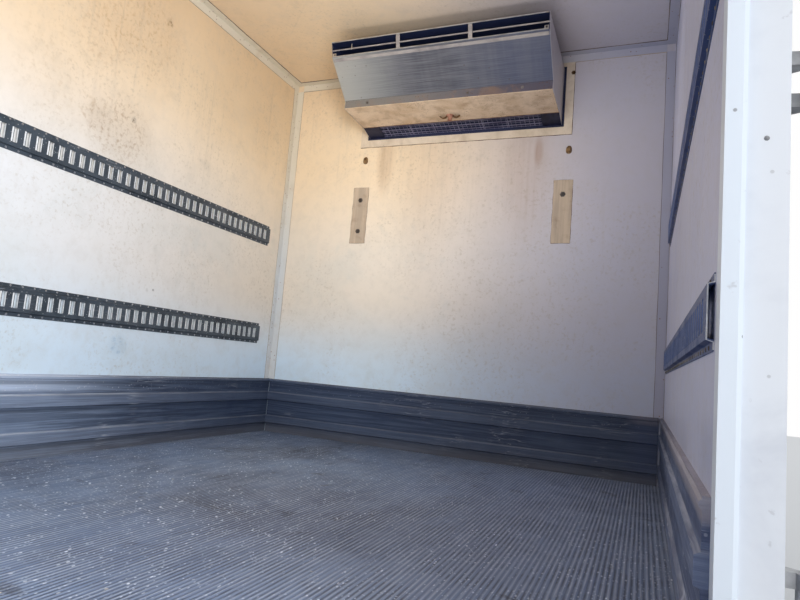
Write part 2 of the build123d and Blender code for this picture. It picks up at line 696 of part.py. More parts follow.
# Liner trims: angles in the ceiling corners and the front corners
with BuildPart() as liner_trims:
    for side in (-1, 1):
        with BuildSketch(at_y(BULKHEAD_Y)):
            with BuildLine():
                Polyline(
                    (side * HALF_IN, CEILING_Z),
                    (side * (HALF_IN - TRIM_LEG), CEILING_Z),
                    (side * (HALF_IN - TRIM_LEG), CEILING_Z - TRIM_T),
                    (side * (HALF_IN - TRIM_T), CEILING_Z - TRIM_T),
                    (side * (HALF_IN - TRIM_T), CEILING_Z - TRIM_LEG),
                    (side * HALF_IN, CEILING_Z - TRIM_LEG),
                    close=True,
                )
            make_face()
        extrude(amount=BOX_IN_L)
        with BuildSketch(Plane.XY.offset(FLOOR_Z + SCUFF_H)):
            with BuildLine():
                Polyline(
                    (side * HALF_IN, BULKHEAD_Y),
                    (side * (HALF_IN - TRIM_LEG), BULKHEAD_Y),
                    (side * (HALF_IN - TRIM_LEG), BULKHEAD_Y - TRIM_T),
                    (side * (HALF_IN - TRIM_T), BULKHEAD_Y - TRIM_T),
                    (side * (HALF_IN - TRIM_T), BULKHEAD_Y - TRIM_LEG),
                    (side * HALF_IN, BULKHEAD_Y - TRIM_LEG),
                    close=True,
                )
            make_face()
        extrude(amount=INNER_H - SCUFF_H - TRIM_LEG - TRIM_JOINT)
    with BuildSketch(Plane.YZ.offset(-HALF_IN + TRIM_LEG + TRIM_JOINT)):
        with BuildLine():
            Polyline(
                (BULKHEAD_Y, CEILING_Z),
                (BULKHEAD_Y - TRIM_LEG, CEILING_Z),
                (BULKHEAD_Y - TRIM_LEG, CEILING_Z - TRIM_T),
                (BULKHEAD_Y - TRIM_T, CEILING_Z - TRIM_T),
                (BULKHEAD_Y - TRIM_T, CEILING_Z - TRIM_LEG),
                (BULKHEAD_Y, CEILING_Z - TRIM_LEG),
                close=True,
            )
        make_face()
    extrude(amount=INNER_W - 2 * (TRIM_LEG + TRIM_JOINT))
save(liner_trims, "liner_trims")


def track(side, height, rear, front):
    """A slotted cargo track on the wall at side, from rear to front, centred at height."""
    half = TRACK_H / 2
    foot, crown = half - TRACK_FLANGE, half - TRACK_FLANGE - TRACK_SLOPE
    section = [
        (0, -half),
        (0, TRACK_T - foot),
        (TRACK_RAISE - TRACK_T, TRACK_T - crown),
        (TRACK_RAISE - TRACK_T, crown - TRACK_T),
        (0, foot - TRACK_T),
        (0, half),
        (TRACK_T, half),
        (TRACK_T, foot),
        (TRACK_RAISE, crown),
        (TRACK_RAISE, -crown),
        (TRACK_T, -foot),
        (TRACK_T, -half),
    ]
    centre = FLOOR_Z + height
    count = int((front - rear - SLOT_PITCH) // SLOT_PITCH)
    with BuildPart() as hat:
        with BuildSketch(at_y(front)):
            with BuildLine():
                Polyline(*[(side * (HALF_IN - t), centre + z) for t, z in section], close=True)
            make_face()
        extrude(amount=front - rear)
        with BuildSketch(Plane.YZ.offset(side * (HALF_IN - TRACK_RAISE - 1))):
            with Locations(*[(front - (n + 1) * SLOT_PITCH, centre) for n in range(count)]):
                Rectangle(SLOT_W, SLOT_H)
        extrude(amount=side * (TRACK_T + 2), mode=Mode.SUBTRACT)
    return hat.part


# Cargo tracks of both walls
track_front = BULKHEAD_Y - TRACK_FRONT_GAP
track_rear = FRAME_IN_Y + TRACK_REAR_GAP
with BuildPart() as tracks_left:
    for height in TRACK_HEIGHTS:
        add(track(-1, height, track_rear, track_front))
save(tracks_left, "tracks_left")
with BuildPart() as tracks_right:
    for height in TRACK_HEIGHTS:
        add(track(1, height, side_hole_front + TRACK_DOOR_GAP, track_front))
        add(track(1, height, track_rear, side_hole_rear - TRACK_DOOR_GAP))
save(tracks_right, "tracks_right")


def evap(point, inset=0.0):
    """A point of the evaporator's side view in the truck's frame, as (y, z)."""
    return (BULKHEAD_Y - point[0] + inset, FLOOR_Z + point[1])


# Evaporator housing: folded sheet with side cheeks, open at the outlet and at the mouth
half_evap = EVAP_W / 2
cheek_points = (EVAP_TOP, EVAP_NOSE, EVAP_LIP, EVAP_SEAM, EVAP_FOLD, EVAP_MOUTH, EVAP_BOTTOM)
cheek_outline = [evap(point) for point in cheek_points]
lip_rise = 5.0
with BuildPart() as evaporator_housing:
    for x in (-half_evap, half_evap - EVAP_SHEET):
        with BuildSketch(Plane.YZ.offset(x)):
            with BuildLine():
                Polyline(*cheek_outline, close=True)
            make_face()
        extrude(amount=EVAP_SHEET)
    with BuildSketch(Plane.YZ.offset(-half_evap)):
        with BuildLine():
            top_y, top_z = evap(EVAP_TOP)
            nose_y, nose_z = evap(EVAP_NOSE)
            Polyline(
                (top_y, top_z),
                (nose_y, nose_z),
                (nose_y + 1.5, nose_z - EVAP_SHEET),
                (top_y, top_z - EVAP_SHEET),
                close=True,
            )
        make_face()
        with BuildLine():
            lip_y, lip_z = evap(EVAP_LIP)
            seam_y, seam_z = evap(EVAP_SEAM)
            Polyline(
                (lip_y - 7, lip_z + lip_rise),
                (lip_y, lip_z),
                (seam_y, seam_z),
                (seam_y, seam_z + 4),
                (lip_y + EVAP_SHEET, lip_z + 2),
                (lip_y - 7 + EVAP_SHEET, lip_z + lip_rise),
                close=True,
            )
        make_face()
    extrude(amount=EVAP_W)
save(evaporator_housing, "evaporator_housing")

# Outlet dividers and the guard rod across the outlet
divider_low = FLOOR_Z + EVAP_LIP[1] + lip_rise
divider_high = FLOOR_Z + EVAP_NOSE[1] - EVAP_SHEET
divider_x = [(n - (OUTLETS - 2) / 2) * EVAP_W / OUTLETS for n in range(OUTLETS - 1)]
rod_z = divider_low + (divider_high - divider_low) * 0.5
with BuildPart() as evaporator_outlet:
    for x in divider_x:
        with BuildSketch(Plane.YZ.offset(x - DIVIDER_W / 2)):
            with BuildLine():
                Polyline(
                    (lip_y - 7, divider_low),
                    (nose_y + 1, divider_high),
                    (nose_y + 4, divider_high),
                    (lip_y - 4, divider_low),
                    close=True,
                )
            make_face()
        extrude(amount=DIVIDER_W)
    with BuildSketch(Plane.YZ.offset(-half_evap + EVAP_SHEET)):
        with Locations((lip_y - 7, rod_z)):
            RegularPolygon(GUARD_ROD_R, 8)
    extrude(amount=EVAP_W - 2 * EVAP_SHEET)
save(evaporator_outlet, "evaporator_outlet")

# Drip pan: the bolted strip and the nearly level underside, up to the mouth
with BuildPart() as evaporator_pan:
    with BuildSketch(Plane.YZ.offset(-half_evap + EVAP_SHEET)):
        with BuildLine():
            fold_y, fold_z = evap(EVAP_FOLD)
            mouth_y, mouth_z = evap(EVAP_MOUTH)
            Polyline(
                (seam_y, seam_z),
                (fold_y, fold_z),
                (mouth_y, mouth_z),
                (mouth_y, mouth_z + 24),
                (mouth_y - EVAP_SHEET, mouth_z + 24),
                (mouth_y - EVAP_SHEET, mouth_z + EVAP_SHEET),
                (fold_y + EVAP_SHEET, fold_z + EVAP_SHEET),
                (seam_y + EVAP_SHEET, seam_z),
                close=True,
            )
        make_face()
    extrude(amount=EVAP_W - 2 * EVAP_SHEET)
save(evaporator_pan, "evaporator_pan")

# Evaporator coil: a finned block that hangs on the bulkhead above the mouth
coil_gap = 34.0
coil_low = FLOOR_Z + EVAP_MOUTH[1] + 40
coil_high = FLOOR_Z + EVAP_TOP[1] - 40
with BuildPart() as evaporator_coil:
    with BuildSketch(at_y(BULKHEAD_Y)):
        with Locations((0, (coil_low + coil_high) / 2)):
            Rectangle(EVAP_W - 2 * coil_gap, coil_high - coil_low)
    extrude(amount=EVAP_MOUTH[0] + 30)
save(evaporator_coil, "evaporator_coil")

# Mouth grille: bars that run the length of the intake, on cross bars, with a bracket at each end
mouth_drop = (EVAP_MOUTH[1] - EVAP_BOTTOM[1]) / EVAP_MOUTH[0]
GRILLE_BAR = 4.0
GRILLE_BARS = 3
GRILLE_TIES = 7
BRACKET_W = 104.0
with BuildPart() as evaporator_grille:
    for n in range(GRILLE_BARS):
        back = EVAP_MOUTH[0] * (n + 0.5) / GRILLE_BARS
        with BuildSketch(Plane.YZ.offset(-half_evap + EVAP_SHEET)):
            with Locations((BULKHEAD_Y - back, FLOOR_Z + EVAP_BOTTOM[1] + mouth_drop * back + 8)):
                Rectangle(GRILLE_BAR, GRILLE_BAR)
        extrude(amount=EVAP_W - 2 * EVAP_SHEET)
    for n in range(GRILLE_TIES):
        x = (n - (GRILLE_TIES - 1) / 2) * EVAP_W / (GRILLE_TIES + 1)
        with BuildSketch(Plane.YZ.offset(x - GRILLE_BAR / 2)):
            with BuildLine():
                Polyline(
                    (BULKHEAD_Y, FLOOR_Z + EVAP_BOTTOM[1] + 8),
                    (mouth_y, mouth_z + 8),
                    (mouth_y, mouth_z + 8 + GRILLE_BAR),
                    (BULKHEAD_Y, FLOOR_Z + EVAP_BOTTOM[1] + 8 + GRILLE_BAR),
                    close=True,
                )
            make_face()
        extrude(amount=GRILLE_BAR)
    for x in (-half_evap + EVAP_SHEET, half_evap - EVAP_SHEET - BRACKET_W):
        with BuildSketch(Plane.YZ.offset(x)):
            with BuildLine():
                Polyline(
                    (BULKHEAD_Y, FLOOR_Z + EVAP_BOTTOM[1]),
                    (mouth_y, mouth_z),
                    (mouth_y, mouth_z + 20),
                    (BULKHEAD_Y, FLOOR_Z + EVAP_BOTTOM[1] + 38),
                    close=True,
                )
            make_face()
        extrude(amount=BRACKET_W)
save(evaporator_grille, "evaporator_grille")

# Blower: three drums on one shaft behind the outlets
BLOWER_R, BLOWER_W, SHAFT_R, JOURNAL_L = 62.0, 300.0, 10.0, 20.0
BLADE_COUNT = 8
blower_y, blower_z = BULKHEAD_Y - 430.0, FLOOR_Z + 2200.0
RUN_GAP = 0.3
with BuildPart() as evaporator_blower:
    shaft_end = half_evap - EVAP_SHEET - RUN_GAP
    for start, length in ((-shaft_end, JOURNAL_L), (shaft_end - JOURNAL_L, JOURNAL_L)):
        with BuildSketch(Plane.YZ.offset(start)):
            with Locations((blower_y, blower_z)):
                Circle(SHAFT_R)
        extrude(amount=length)
    with BuildSketch(Plane.YZ.offset(-shaft_end + JOURNAL_L)):
        with Locations((blower_y, blower_z)):
            RegularPolygon(SHAFT_R, 6)
    extrude(amount=2 * (shaft_end - JOURNAL_L))
    for n in range(OUTLETS):
        x = (n - (OUTLETS - 1) / 2) * EVAP_W / OUTLETS
        with BuildSketch(Plane.YZ.offset(x - BLOWER_W / 2)):
            with Locations((blower_y, blower_z)):
                RegularPolygon(BLOWER_R - 10, BLADE_COUNT)
                with PolarLocations(BLOWER_R - 8, BLADE_COUNT):
                    Rectangle(12, 3)
        extrude(amount=BLOWER_W)
save(evaporator_blower, "evaporator_blower")

# White frame round the opening, on the liner
strip_h, strip_z = span(opening_low - OPENING_STRIP, opening_high + OPENING_TOP_STRIP)
with BuildPart() as opening_frame:
    with BuildSketch(at_y(BULKHEAD_Y)):
        with Locations((0, strip_z)):
            Rectangle(opening_w + 2 * OPENING_STRIP, strip_h)
        with Locations((0, opening_z)):
            Rectangle(opening_w, opening_h, mode=Mode.SUBTRACT)
    extrude(amount=OPENING_STRIP_T)
save(opening_frame, "opening_frame")

# Cover plates over the unit's through bolts
with BuildPart() as cover_plates:
    with BuildSketch(at_y(BULKHEAD_Y)):
        for side in (-1, 1):
            with Locations((side * COVER_X, FLOOR_Z + (COVER_LOW + COVER_HIGH) / 2)):
                Rectangle(COVER_W, COVER_HIGH - COVER_LOW)
    extrude(amount=COVER_T)
save(cover_plates, "cover_plates")

# Unit frame: uprights and cross bars bolted to the outer face of the front wall
UPRIGHT_W = 70.0
CROSS_BAR_W = 50.0
fan_z = UNIT_Z + GRILLE_Z
coil_back = FRONT_Y + UNIT_FRAME_T
engine_z = UNIT_Z - UNIT_H / 2 + UNIT_TAPER + 20 + ENGINE_H / 2
bar_z = (fan_z + GRILLE_H / 2 - CROSS_BAR_W, fan_z - GRILLE_H / 2 + CROSS_BAR_W, engine_z)
with BuildPart() as unit_frame:
    with BuildSketch(at_y(FRONT_Y + UNIT_FRAME_T)):
        with Locations((0, UNIT_Z)):
            Rectangle(UNIT_W, UNIT_H)
            Rectangle(UNIT_W - 2 * UPRIGHT_W, UNIT_H - 2 * UPRIGHT_W, mode=Mode.SUBTRACT)
        for side in (-1, 1):
            with Locations((side * COVER_X, UNIT_Z)):
                Rectangle(UPRIGHT_W, UNIT_H)
        with Locations(*[(0, z) for z in bar_z]):
            Rectangle(UNIT_W - 2 * UPRIGHT_W, CROSS_BAR_W)
    extrude(amount=UNIT_FRAME_T)
save(unit_frame, "unit_frame")

def tapered(width, height, depth, taper):
    """A block on the unit's back plane that narrows by taper on each side over its depth."""
    back, nose = coil_back, coil_back + depth
    low, high = UNIT_Z - height / 2, UNIT_Z + height / 2
    with BuildPart() as block:
        with BuildSketch(Plane.XY.offset(low)):
            with BuildLine():
                Polyline(
                    (-width / 2, back),
                    (width / 2, back),
                    (width / 2 - taper, nose),
                    (taper - width / 2, nose),
                    close=True,
                )
            make_face()
        extrude(amount=height)
        with BuildSketch(Plane.YZ.offset(-width / 2)):
            with BuildLine():
                Polyline((back, low), (back, high), (nose, high - taper), (nose, low + taper), close=True)
            make_face()
        extrude(amount=width, mode=Mode.INTERSECT)
    return block.part


# Condenser housing: a tapered moulded shell, open at the back, with a grille opening
unit_plane = Plane((0, FRONT_Y + UNIT_FRAME_T, UNIT_Z), x_dir=(-1, 0, 0), z_dir=(0, 1, 0))
with BuildPart() as condenser_housing:
    add(tapered(UNIT_W, UNIT_H, UNIT_D, UNIT_TAPER))
    long_edges = condenser_housing.edges().filter_by(lambda edge: UNIT_D < edge.length < UNIT_H / 2)
    chamfer(long_edges, UNIT_CORNER)
    chamfer(condenser_housing.faces().sort_by(Axis.Y)[-1].edges(), UNIT_NOSE)
    inner_d = UNIT_D - UNIT_WALL
    inner_taper = UNIT_TAPER * inner_d / UNIT_D
    add(
        tapered(UNIT_W - 2 * UNIT_INNER, UNIT_H - 2 * UNIT_INNER, inner_d, inner_taper),
        mode=Mode.SUBTRACT,
    )
    with BuildSketch(unit_plane.offset(UNIT_D - UNIT_WALL - 1)):
        with Locations((0, GRILLE_Z)):
            Rectangle(GRILLE_W, GRILLE_H)
    extrude(amount=UNIT_WALL + 2, mode=Mode.SUBTRACT)
    with BuildSketch(unit_plane.offset(UNIT_D - SEAM_DEPTH)):
        with Locations((0, -UNIT_H / 2 + UNIT_TAPER + LOWER_DOOR_H)):
            Rectangle(UNIT_W, SEAM_W)
        with Locations((0, -UNIT_H / 2)):
            Rectangle(SEAM_W, 2 * (UNIT_TAPER + LOWER_DOOR_H))
        for side in (-1, 1):
            with Locations((side * (GRILLE_W / 2 + 60), UNIT_H / 2)):
                Rectangle(SEAM_W, 2 * (UNIT_H - UNIT_TAPER - LOWER_DOOR_H))
    extrude(amount=SEAM_DEPTH + 1, mode=Mode.SUBTRACT)
    with BuildSketch(Plane.YZ.offset(-UNIT_W / 2)):
        louvre_z = [UNIT_Z - 240 + n * LOUVRE_PITCH for n in range(LOUVRES)]
        with Locations(*[(coil_back + UNIT_D * 0.45, z) for z in louvre_z]):
            Rectangle(UNIT_D * 0.42, LOUVRE_H)
    extrude(amount=UNIT_W, mode=Mode.SUBTRACT)
save(condenser_housing, "condenser_housing")

# Condenser grille: a rim behind the opening and sloped slats across it
SLATS = 13
SLAT_T, SLAT_D, SLAT_TILT = 3.0, 26.0, 35.0
GRILLE_RIM = 16.0
GRILLE_DEPTH = 26.0
grille_y = FRONT_Y + UNIT_FRAME_T + UNIT_D - UNIT_WALL
with BuildPart() as condenser_grille:
    with BuildSketch(at_y(grille_y)):
        with Locations((0, UNIT_Z + GRILLE_Z)):
            Rectangle(GRILLE_W + 2 * GRILLE_RIM, GRILLE_H + 2 * GRILLE_RIM)
            Rectangle(GRILLE_W - 2, GRILLE_H - 2, mode=Mode.SUBTRACT)
    extrude(amount=GRILLE_DEPTH)
    for n in range(SLATS):
        z = UNIT_Z + GRILLE_Z + (n - (SLATS - 1) / 2) * GRILLE_H / SLATS
        with BuildSketch(Plane.YZ.offset(-GRILLE_W / 2)):
            with Locations((grille_y - GRILLE_DEPTH / 2, z)):
                Rectangle(SLAT_D, SLAT_T, rotation=SLAT_TILT)
        extrude(amount=GRILLE_W)
save(condenser_grille, "condenser_grille")

# Condenser coil with its fan plate: a finned block, a plate with a ring, and the motor on a spider
COIL_D = 90.0
PLATE_T = 6.0
RING_D = 60.0
MOTOR_R, MOTOR_L = 60.0, 70.0
fan_plate_y = coil_back + COIL_D
with BuildPart() as condenser_coil:
    with BuildSketch(at_y(fan_plate_y)):
        with Locations((0, fan_z)):
            Rectangle(GRILLE_W, GRILLE_H)
    extrude(amount=COIL_D)
    with BuildSketch(at_y(fan_plate_y + PLATE_T)):
        with Locations((0, fan_z)):
            Rectangle(GRILLE_W + 80, GRILLE_H + 80)
    extrude(amount=PLATE_T)
    with BuildSketch(at_y(fan_plate_y + PLATE_T + MOTOR_L)):
        with Locations((0, fan_z)):
            RegularPolygon(MOTOR_R, 16)
    extrude(amount=MOTOR_L)
    with BuildSketch(at_y(fan_plate_y + PLATE_T + MOTOR_L + RING_D + 20)):
        with Locations((0, fan_z)):
            RegularPolygon(FAN_R + 14, 32)
            RegularPolygon(FAN_R + 10, 32, mode=Mode.SUBTRACT)
    extrude(amount=MOTOR_L + RING_D + 20)
save(condenser_coil, "condenser_coil")

# Condenser fan: a hub and pitched, widening blades, running in front of the motor
HUB_R, HUB_L, HUB_BORE_R = 52.0, 44.0, 10.0
BLADE_ROOT_W, BLADE_TIP_W, BLADE_T, BLADE_PITCH = 64.0, 112.0, 4.0, 28.0
TIP_GAP = 8.0
blade_low, blade_high = HUB_R * 0.8, FAN_R - TIP_GAP
fan_back = fan_plate_y + PLATE_T + MOTOR_L + RUN_GAP
fan_mid = fan_back + HUB_L / 2
pitch_sin, pitch_cos = sin(radians(BLADE_PITCH)), cos(radians(BLADE_PITCH))
with BuildPart() as condenser_fan:
    with BuildSketch(at_y(fan_back + HUB_L)):
        with Locations((0, fan_z)):
            RegularPolygon(HUB_R, 2 * BLADES)
            Circle(HUB_BORE_R, mode=Mode.SUBTRACT)
    extrude(amount=HUB_L)
    for n in range(BLADES):
        turn = radians(360 / BLADES * n)
        blade_plane = Plane(
            (0, fan_mid, fan_z),
            x_dir=(cos(turn), 0, sin(turn)),
            z_dir=(-sin(turn) * pitch_sin, -pitch_cos, cos(turn) * pitch_sin),
        )
        with BuildSketch(blade_plane):
            with BuildLine():
                Polyline(
                    (blade_low, -BLADE_ROOT_W / 2),
                    (blade_high, -BLADE_TIP_W / 2),
                    (blade_high, BLADE_TIP_W / 2),
                    (blade_low, BLADE_ROOT_W / 2),
                    close=True,
                )
            make_face()
        extrude(amount=BLADE_T / 2, both=True)
save(condenser_fan, "condenser_fan")

# Engine and compressor: one plain block low in the unit
with BuildPart() as unit_engine:
    with BuildSketch(Plane.XY.offset(engine_z - ENGINE_H / 2)):
        with Locations((0, coil_back + ENGINE_D / 2)):
            Rectangle(ENGINE_W, ENGINE_D)
    extrude(amount=ENGINE_H)
save(unit_engine, "unit_engine")

# Ceiling lamps: two shallow lenses on the centre line
LAMP_L, LAMP_W, LAMP_T = 420.0, 96.0, 28.0
with BuildPart() as ceiling_lamps:
    with BuildSketch(Plane.XY.offset(CEILING_Z - LAMP_T)):
        for y in (BULKHEAD_Y - BOX_IN_L * 0.42, BULKHEAD_Y - BOX_IN_L * 0.8):
            with Locations((0, y)):
                add(lamp(LAMP_W, LAMP_L, 20))
    extrude(amount=LAMP_T)
    chamfer(ceiling_lamps.faces().group_by(Axis.Z)[0].edges(), 10)
save(ceiling_lamps, "ceiling_lamps")

# Lamps: amber markers at the front, red markers at the back, three red ovals on each side
MARKER_L, MARKER_H, MARKER_T = 104.0, 34.0, 22.0
header_z = (FLOOR_Z + REAR_CLEAR_H + LIP_W + frame_top) / 2
with BuildPart() as lamps_amber:
    with BuildSketch(at_y(FRONT_Y)):
        for x in (-1090.0, 1090.0):
            with Locations((x, CEILING_Z - 40)):
                add(lamp(MARKER_L, MARKER_H, 9))
    extrude(amount=-MARKER_T)
    for side in (-1, 1):
        with BuildSketch(Plane.YZ.offset(side * SKIN_X)):
            with Locations((BULKHEAD_Y - 120, base_low + BASE_RAIL_H / 2)):
                add(lamp(MARKER_L, MARKER_H, 9))
        extrude(amount=side * MARKER_T)
save(lamps_amber, "lamps_amber")

TAIL_L, TAIL_H, TAIL_T = 165.0, 60.0, 20.0
tail_z = (REAR_SILL_Z + FLOOR_Z - LIP_W) / 2 - 10
with BuildPart() as lamps_red:
    with BuildSketch(at_y(REAR_Y)):
        for x in (-1140.0, -160.0, 0.0, 160.0, 1140.0):
            with Locations((x, header_z + 24)):
                add(lamp(MARKER_L, MARKER_H, 9))
    extrude(amount=MARKER_T)
    for side in (-1, 1):
        with BuildSketch(Plane.YZ.offset(side * SKIN_X)):
            with Locations((FRAME_IN_Y + 120, base_low + BASE_RAIL_H / 2)):
                add(lamp(MARKER_L, MARKER_H, 9))
        extrude(amount=side * MARKER_T)
    with BuildSketch(at_y(REAR_Y)):
        for side in (-1, 1):
            for n in range(3):
                with Locations((side * (1120 - n * 200), tail_z)):
                    add(lamp(TAIL_L, TAIL_H, 20))
    extrude(amount=TAIL_T)
save(lamps_red, "lamps_red")

# Steps: a bumper beam on two brackets from the sills, and a stirrup under the side doorway
STEP_W, STEP_H, STEP_D = 1900.0, 60.0, 130.0
STEP_Z = 30.0
step_reach = REAR_Y - STEP_D
SIDE_STEP_L, SIDE_STEP_T = 420.0, 32.0
SIDE_STEP_Z = 12.0
with BuildPart() as steps:
    with BuildSketch(at_y(step_reach + STEP_D)):
        with Locations((0, STEP_Z + STEP_H / 2)):
            Rectangle(STEP_W, STEP_H)
    extrude(amount=STEP_D)
    with BuildSketch(Plane.XY.offset(STEP_Z)):
        for side in (-1, 1):
            with Locations((side * (sill_x - SILL_T / 2), (-sill_l / 2 + REAR_Y) / 2)):
                Rectangle(SILL_T, -REAR_Y - sill_l / 2)
    extrude(amount=STEP_H)
    with BuildSketch(Plane.YZ.offset(HALF_IN)):
        with Locations((SIDE_MID_Y, (SIDE_STEP_Z + PANEL_Z - RAIL_T) / 2)):
            Rectangle(SIDE_STEP_L, PANEL_Z - RAIL_T - SIDE_STEP_Z)
            with Locations((0, SIDE_STEP_T / 2)):
                Rectangle(
                    SIDE_STEP_L - 2 * SIDE_STEP_T,
                    PANEL_Z - RAIL_T - SIDE_STEP_Z - SIDE_STEP_T,
                    mode=Mode.SUBTRACT,
                )
    extrude(amount=110)
save(steps, "steps")
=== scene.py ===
"""Finishes and fine pieces of the insulated truck body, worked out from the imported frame.

Row frame, in metres: +X to the truck's right, +Y forward, +Z up, origin under the long sills.
"""
import json
from math import cos, pi, radians, sin

import bpy
import numpy as np
from mathutils import Matrix, Vector


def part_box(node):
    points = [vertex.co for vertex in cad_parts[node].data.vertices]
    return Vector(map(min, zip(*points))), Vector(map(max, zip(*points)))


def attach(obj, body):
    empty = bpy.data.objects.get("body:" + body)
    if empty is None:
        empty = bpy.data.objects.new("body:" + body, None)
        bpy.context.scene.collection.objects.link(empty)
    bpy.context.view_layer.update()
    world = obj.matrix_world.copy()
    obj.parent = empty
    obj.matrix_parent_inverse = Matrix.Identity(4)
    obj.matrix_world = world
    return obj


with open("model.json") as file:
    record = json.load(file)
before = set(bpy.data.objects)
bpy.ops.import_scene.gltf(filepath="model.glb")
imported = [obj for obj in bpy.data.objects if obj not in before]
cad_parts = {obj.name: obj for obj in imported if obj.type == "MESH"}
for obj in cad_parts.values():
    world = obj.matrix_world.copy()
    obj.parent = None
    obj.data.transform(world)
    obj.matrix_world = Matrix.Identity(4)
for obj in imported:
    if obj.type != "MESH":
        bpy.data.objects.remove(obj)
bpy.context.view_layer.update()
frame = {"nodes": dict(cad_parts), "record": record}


# ---- places, read from the frame


def low(node):
    """Lowest corner of a CAD node."""
    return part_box(node)[0]


def high(node):
    """Highest corner of a CAD node."""
    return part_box(node)[1]


FLOOR = high("floor_deck").z
CEILING = low("roof").z
WALL = low("wall_right").x
SKIN = high("rear_frame").x
BULKHEAD = low("wall_front").y
REAR = low("rear_frame").y
INNER_REAR = high("rear_frame").y
SCUFF_TOP = high("scuff_liners").z
# The side door's frame is 34 mm wide on the outer skin
FLANGE_W = 0.034
HOLE_FRONT = high("side_door_frame").y - FLANGE_W
HOLE_REAR = low("side_door_frame").y + FLANGE_W

# Cargo track, as the source has it
SLOT_PITCH = 0.0508
SLOT_W = 0.017
RIB_PITCH = 0.0143
TRACK_T = 0.0025
TRACKS_LOW, TRACKS_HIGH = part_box("tracks_left")
TRACK_DEPTH = TRACKS_HIGH.x - TRACKS_LOW.x
TRACK_HALF = 0.0635
TRACK_FLANGE = 0.015
TRACK_GAP = 0.016
TRACK_Z = (TRACKS_HIGH.z - TRACK_HALF, TRACKS_LOW.z + TRACK_HALF)
# columns: side, rear end, front end; the right ones stop short of the doorway
TRACK_RUNS = (
    (-1, TRACKS_LOW.y, TRACKS_HIGH.y),
    (1, HOLE_FRONT + TRACK_GAP, TRACKS_HIGH.y),
    (1, TRACKS_LOW.y, HOLE_REAR - TRACK_GAP),
)

# Evaporator side view: distance from the front wall, height above the floor
EVAP_HALF = high("evaporator_housing").x
EVAP_NOSE = (BULKHEAD - 0.597, FLOOR + 2.294)
EVAP_LIP = (BULKHEAD - 0.569, FLOOR + 2.207)
EVAP_SEAM = (BULKHEAD - 0.375, FLOOR + 2.039)
EVAP_FOLD = (BULKHEAD - 0.377, FLOOR + 1.993)
EVAP_MOUTH = (BULKHEAD - 0.110, FLOOR + 1.984)
EVAP_BOTTOM = (BULKHEAD, FLOOR + 1.955)
LIP_RISE = 0.005

# The sloped front: the way it faces, and how far along that way it lies
SLOPE = np.array(EVAP_SEAM) - np.array(EVAP_LIP)
SLOPE /= np.linalg.norm(SLOPE)
SLOPE_OUT = (0.0, float(SLOPE[1]), float(-SLOPE[0]))
SLOPE_AT = float(np.dot(SLOPE_OUT[1:], EVAP_LIP))

SIDES = ((-1, "left"), (1, "right"))
INWARD = (0, -1, 0)


# ---- meshes


def shown(name, data):
    """An object of the scene made from its data."""
    made = bpy.data.objects.new(name, data)
    bpy.context.scene.collection.objects.link(made)
    return made


def mesh_piece(name, verts, faces, slot, material, smooth=True, body="box"):
    """A new object from vertices and faces (rows of one length), riding on a body."""
    verts, faces = np.asarray(verts, float), np.asarray(faces, int)
    mesh = bpy.data.meshes.new(name)
    mesh.vertices.add(len(verts))
    mesh.vertices.foreach_set("co", verts.ravel())
    mesh.loops.add(faces.size)
    mesh.loops.foreach_set("vertex_index", faces.ravel())
    mesh.polygons.add(len(faces))
    mesh.polygons.foreach_set("loop_start", np.arange(0, faces.size, faces.shape[1]))
    mesh.polygons.foreach_set("use_smooth", np.full(len(faces), smooth))
    mesh.update(calc_edges=True)
    piece = shown(name, mesh)
    mesh.materials.append(material)
    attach(piece, body)
    return piece


def tube_faces(rings, count):
    """Triangles between rings of points, count to a ring, wrapped round."""
    a, b = np.meshgrid(np.arange(rings - 1) * count, np.arange(count), indexing="ij")
    after = (b + 1) % count
    quads = np.stack([a + b, a + count + b, a + count + after, a + after], -1).reshape(-1, 4)
    return np.concatenate([quads[:, [2, 1, 0]], quads[:, [3, 2, 0]]])


def capped(verts, count, top):
    """Vertices and faces of rings of points (rings, count, 3), the last ring closed by the top."""
    last_ring = (len(verts) - 1) * count
    here = np.arange(count) + last_ring
    cap = np.stack([here, np.roll(here, -1), np.full(count, last_ring + count)], -1)
    faces = np.concatenate([tube_faces(len(verts), count), cap])
    return np.concatenate([verts.reshape(-1, 3), [top]]), faces


def spread(x, y, z):
    """Places from their coordinates, of which some are one number and some an array."""
    return np.stack(np.broadcast_arrays(x, y, z), -1)


def along(points, profile):
    """Carries a closed profile (rows of side, up) along a path, square to it, with capped ends.

    Each path point gets the profile in the plane square to the path: the side axis is the tangent
    crossed with world up (+X on an upright path), and the up axis is square to both.
    """
    points, profile = np.asarray(points, float), np.asarray(profile, float)
    tangent = np.gradient(points, axis=0)
    tangent /= np.linalg.norm(tangent, axis=1)[:, None]
    ref = np.array([0.0, 0.0, 1.0]) if abs(tangent[:, 2]).max() < 0.9 else np.array([1.0, 0.0, 0.0])
    side = np.cross(tangent, ref)
    side /= np.linalg.norm(side, axis=1)[:, None]
    up = np.cross(side, tangent)
    rings = points[:, None] + profile[None, :, :1] * side[:, None] + profile[None, :, 1:] * up[:, None]
    n, k = len(points), len(profile)
    verts = np.concatenate([rings.reshape(-1, 3), points[:1], points[-1:]])
    here = np.arange(k)
    after = np.roll(here, -1)
    last_ring = (n - 1) * k
    first = np.stack([after, here, np.full(k, n * k)], -1)
    last = np.stack([here + last_ring, after + last_ring, np.full(k, n * k + 1)], -1)
    return verts, np.concatenate([tube_faces(n, k), first[:, ::-1], last[:, ::-1]])


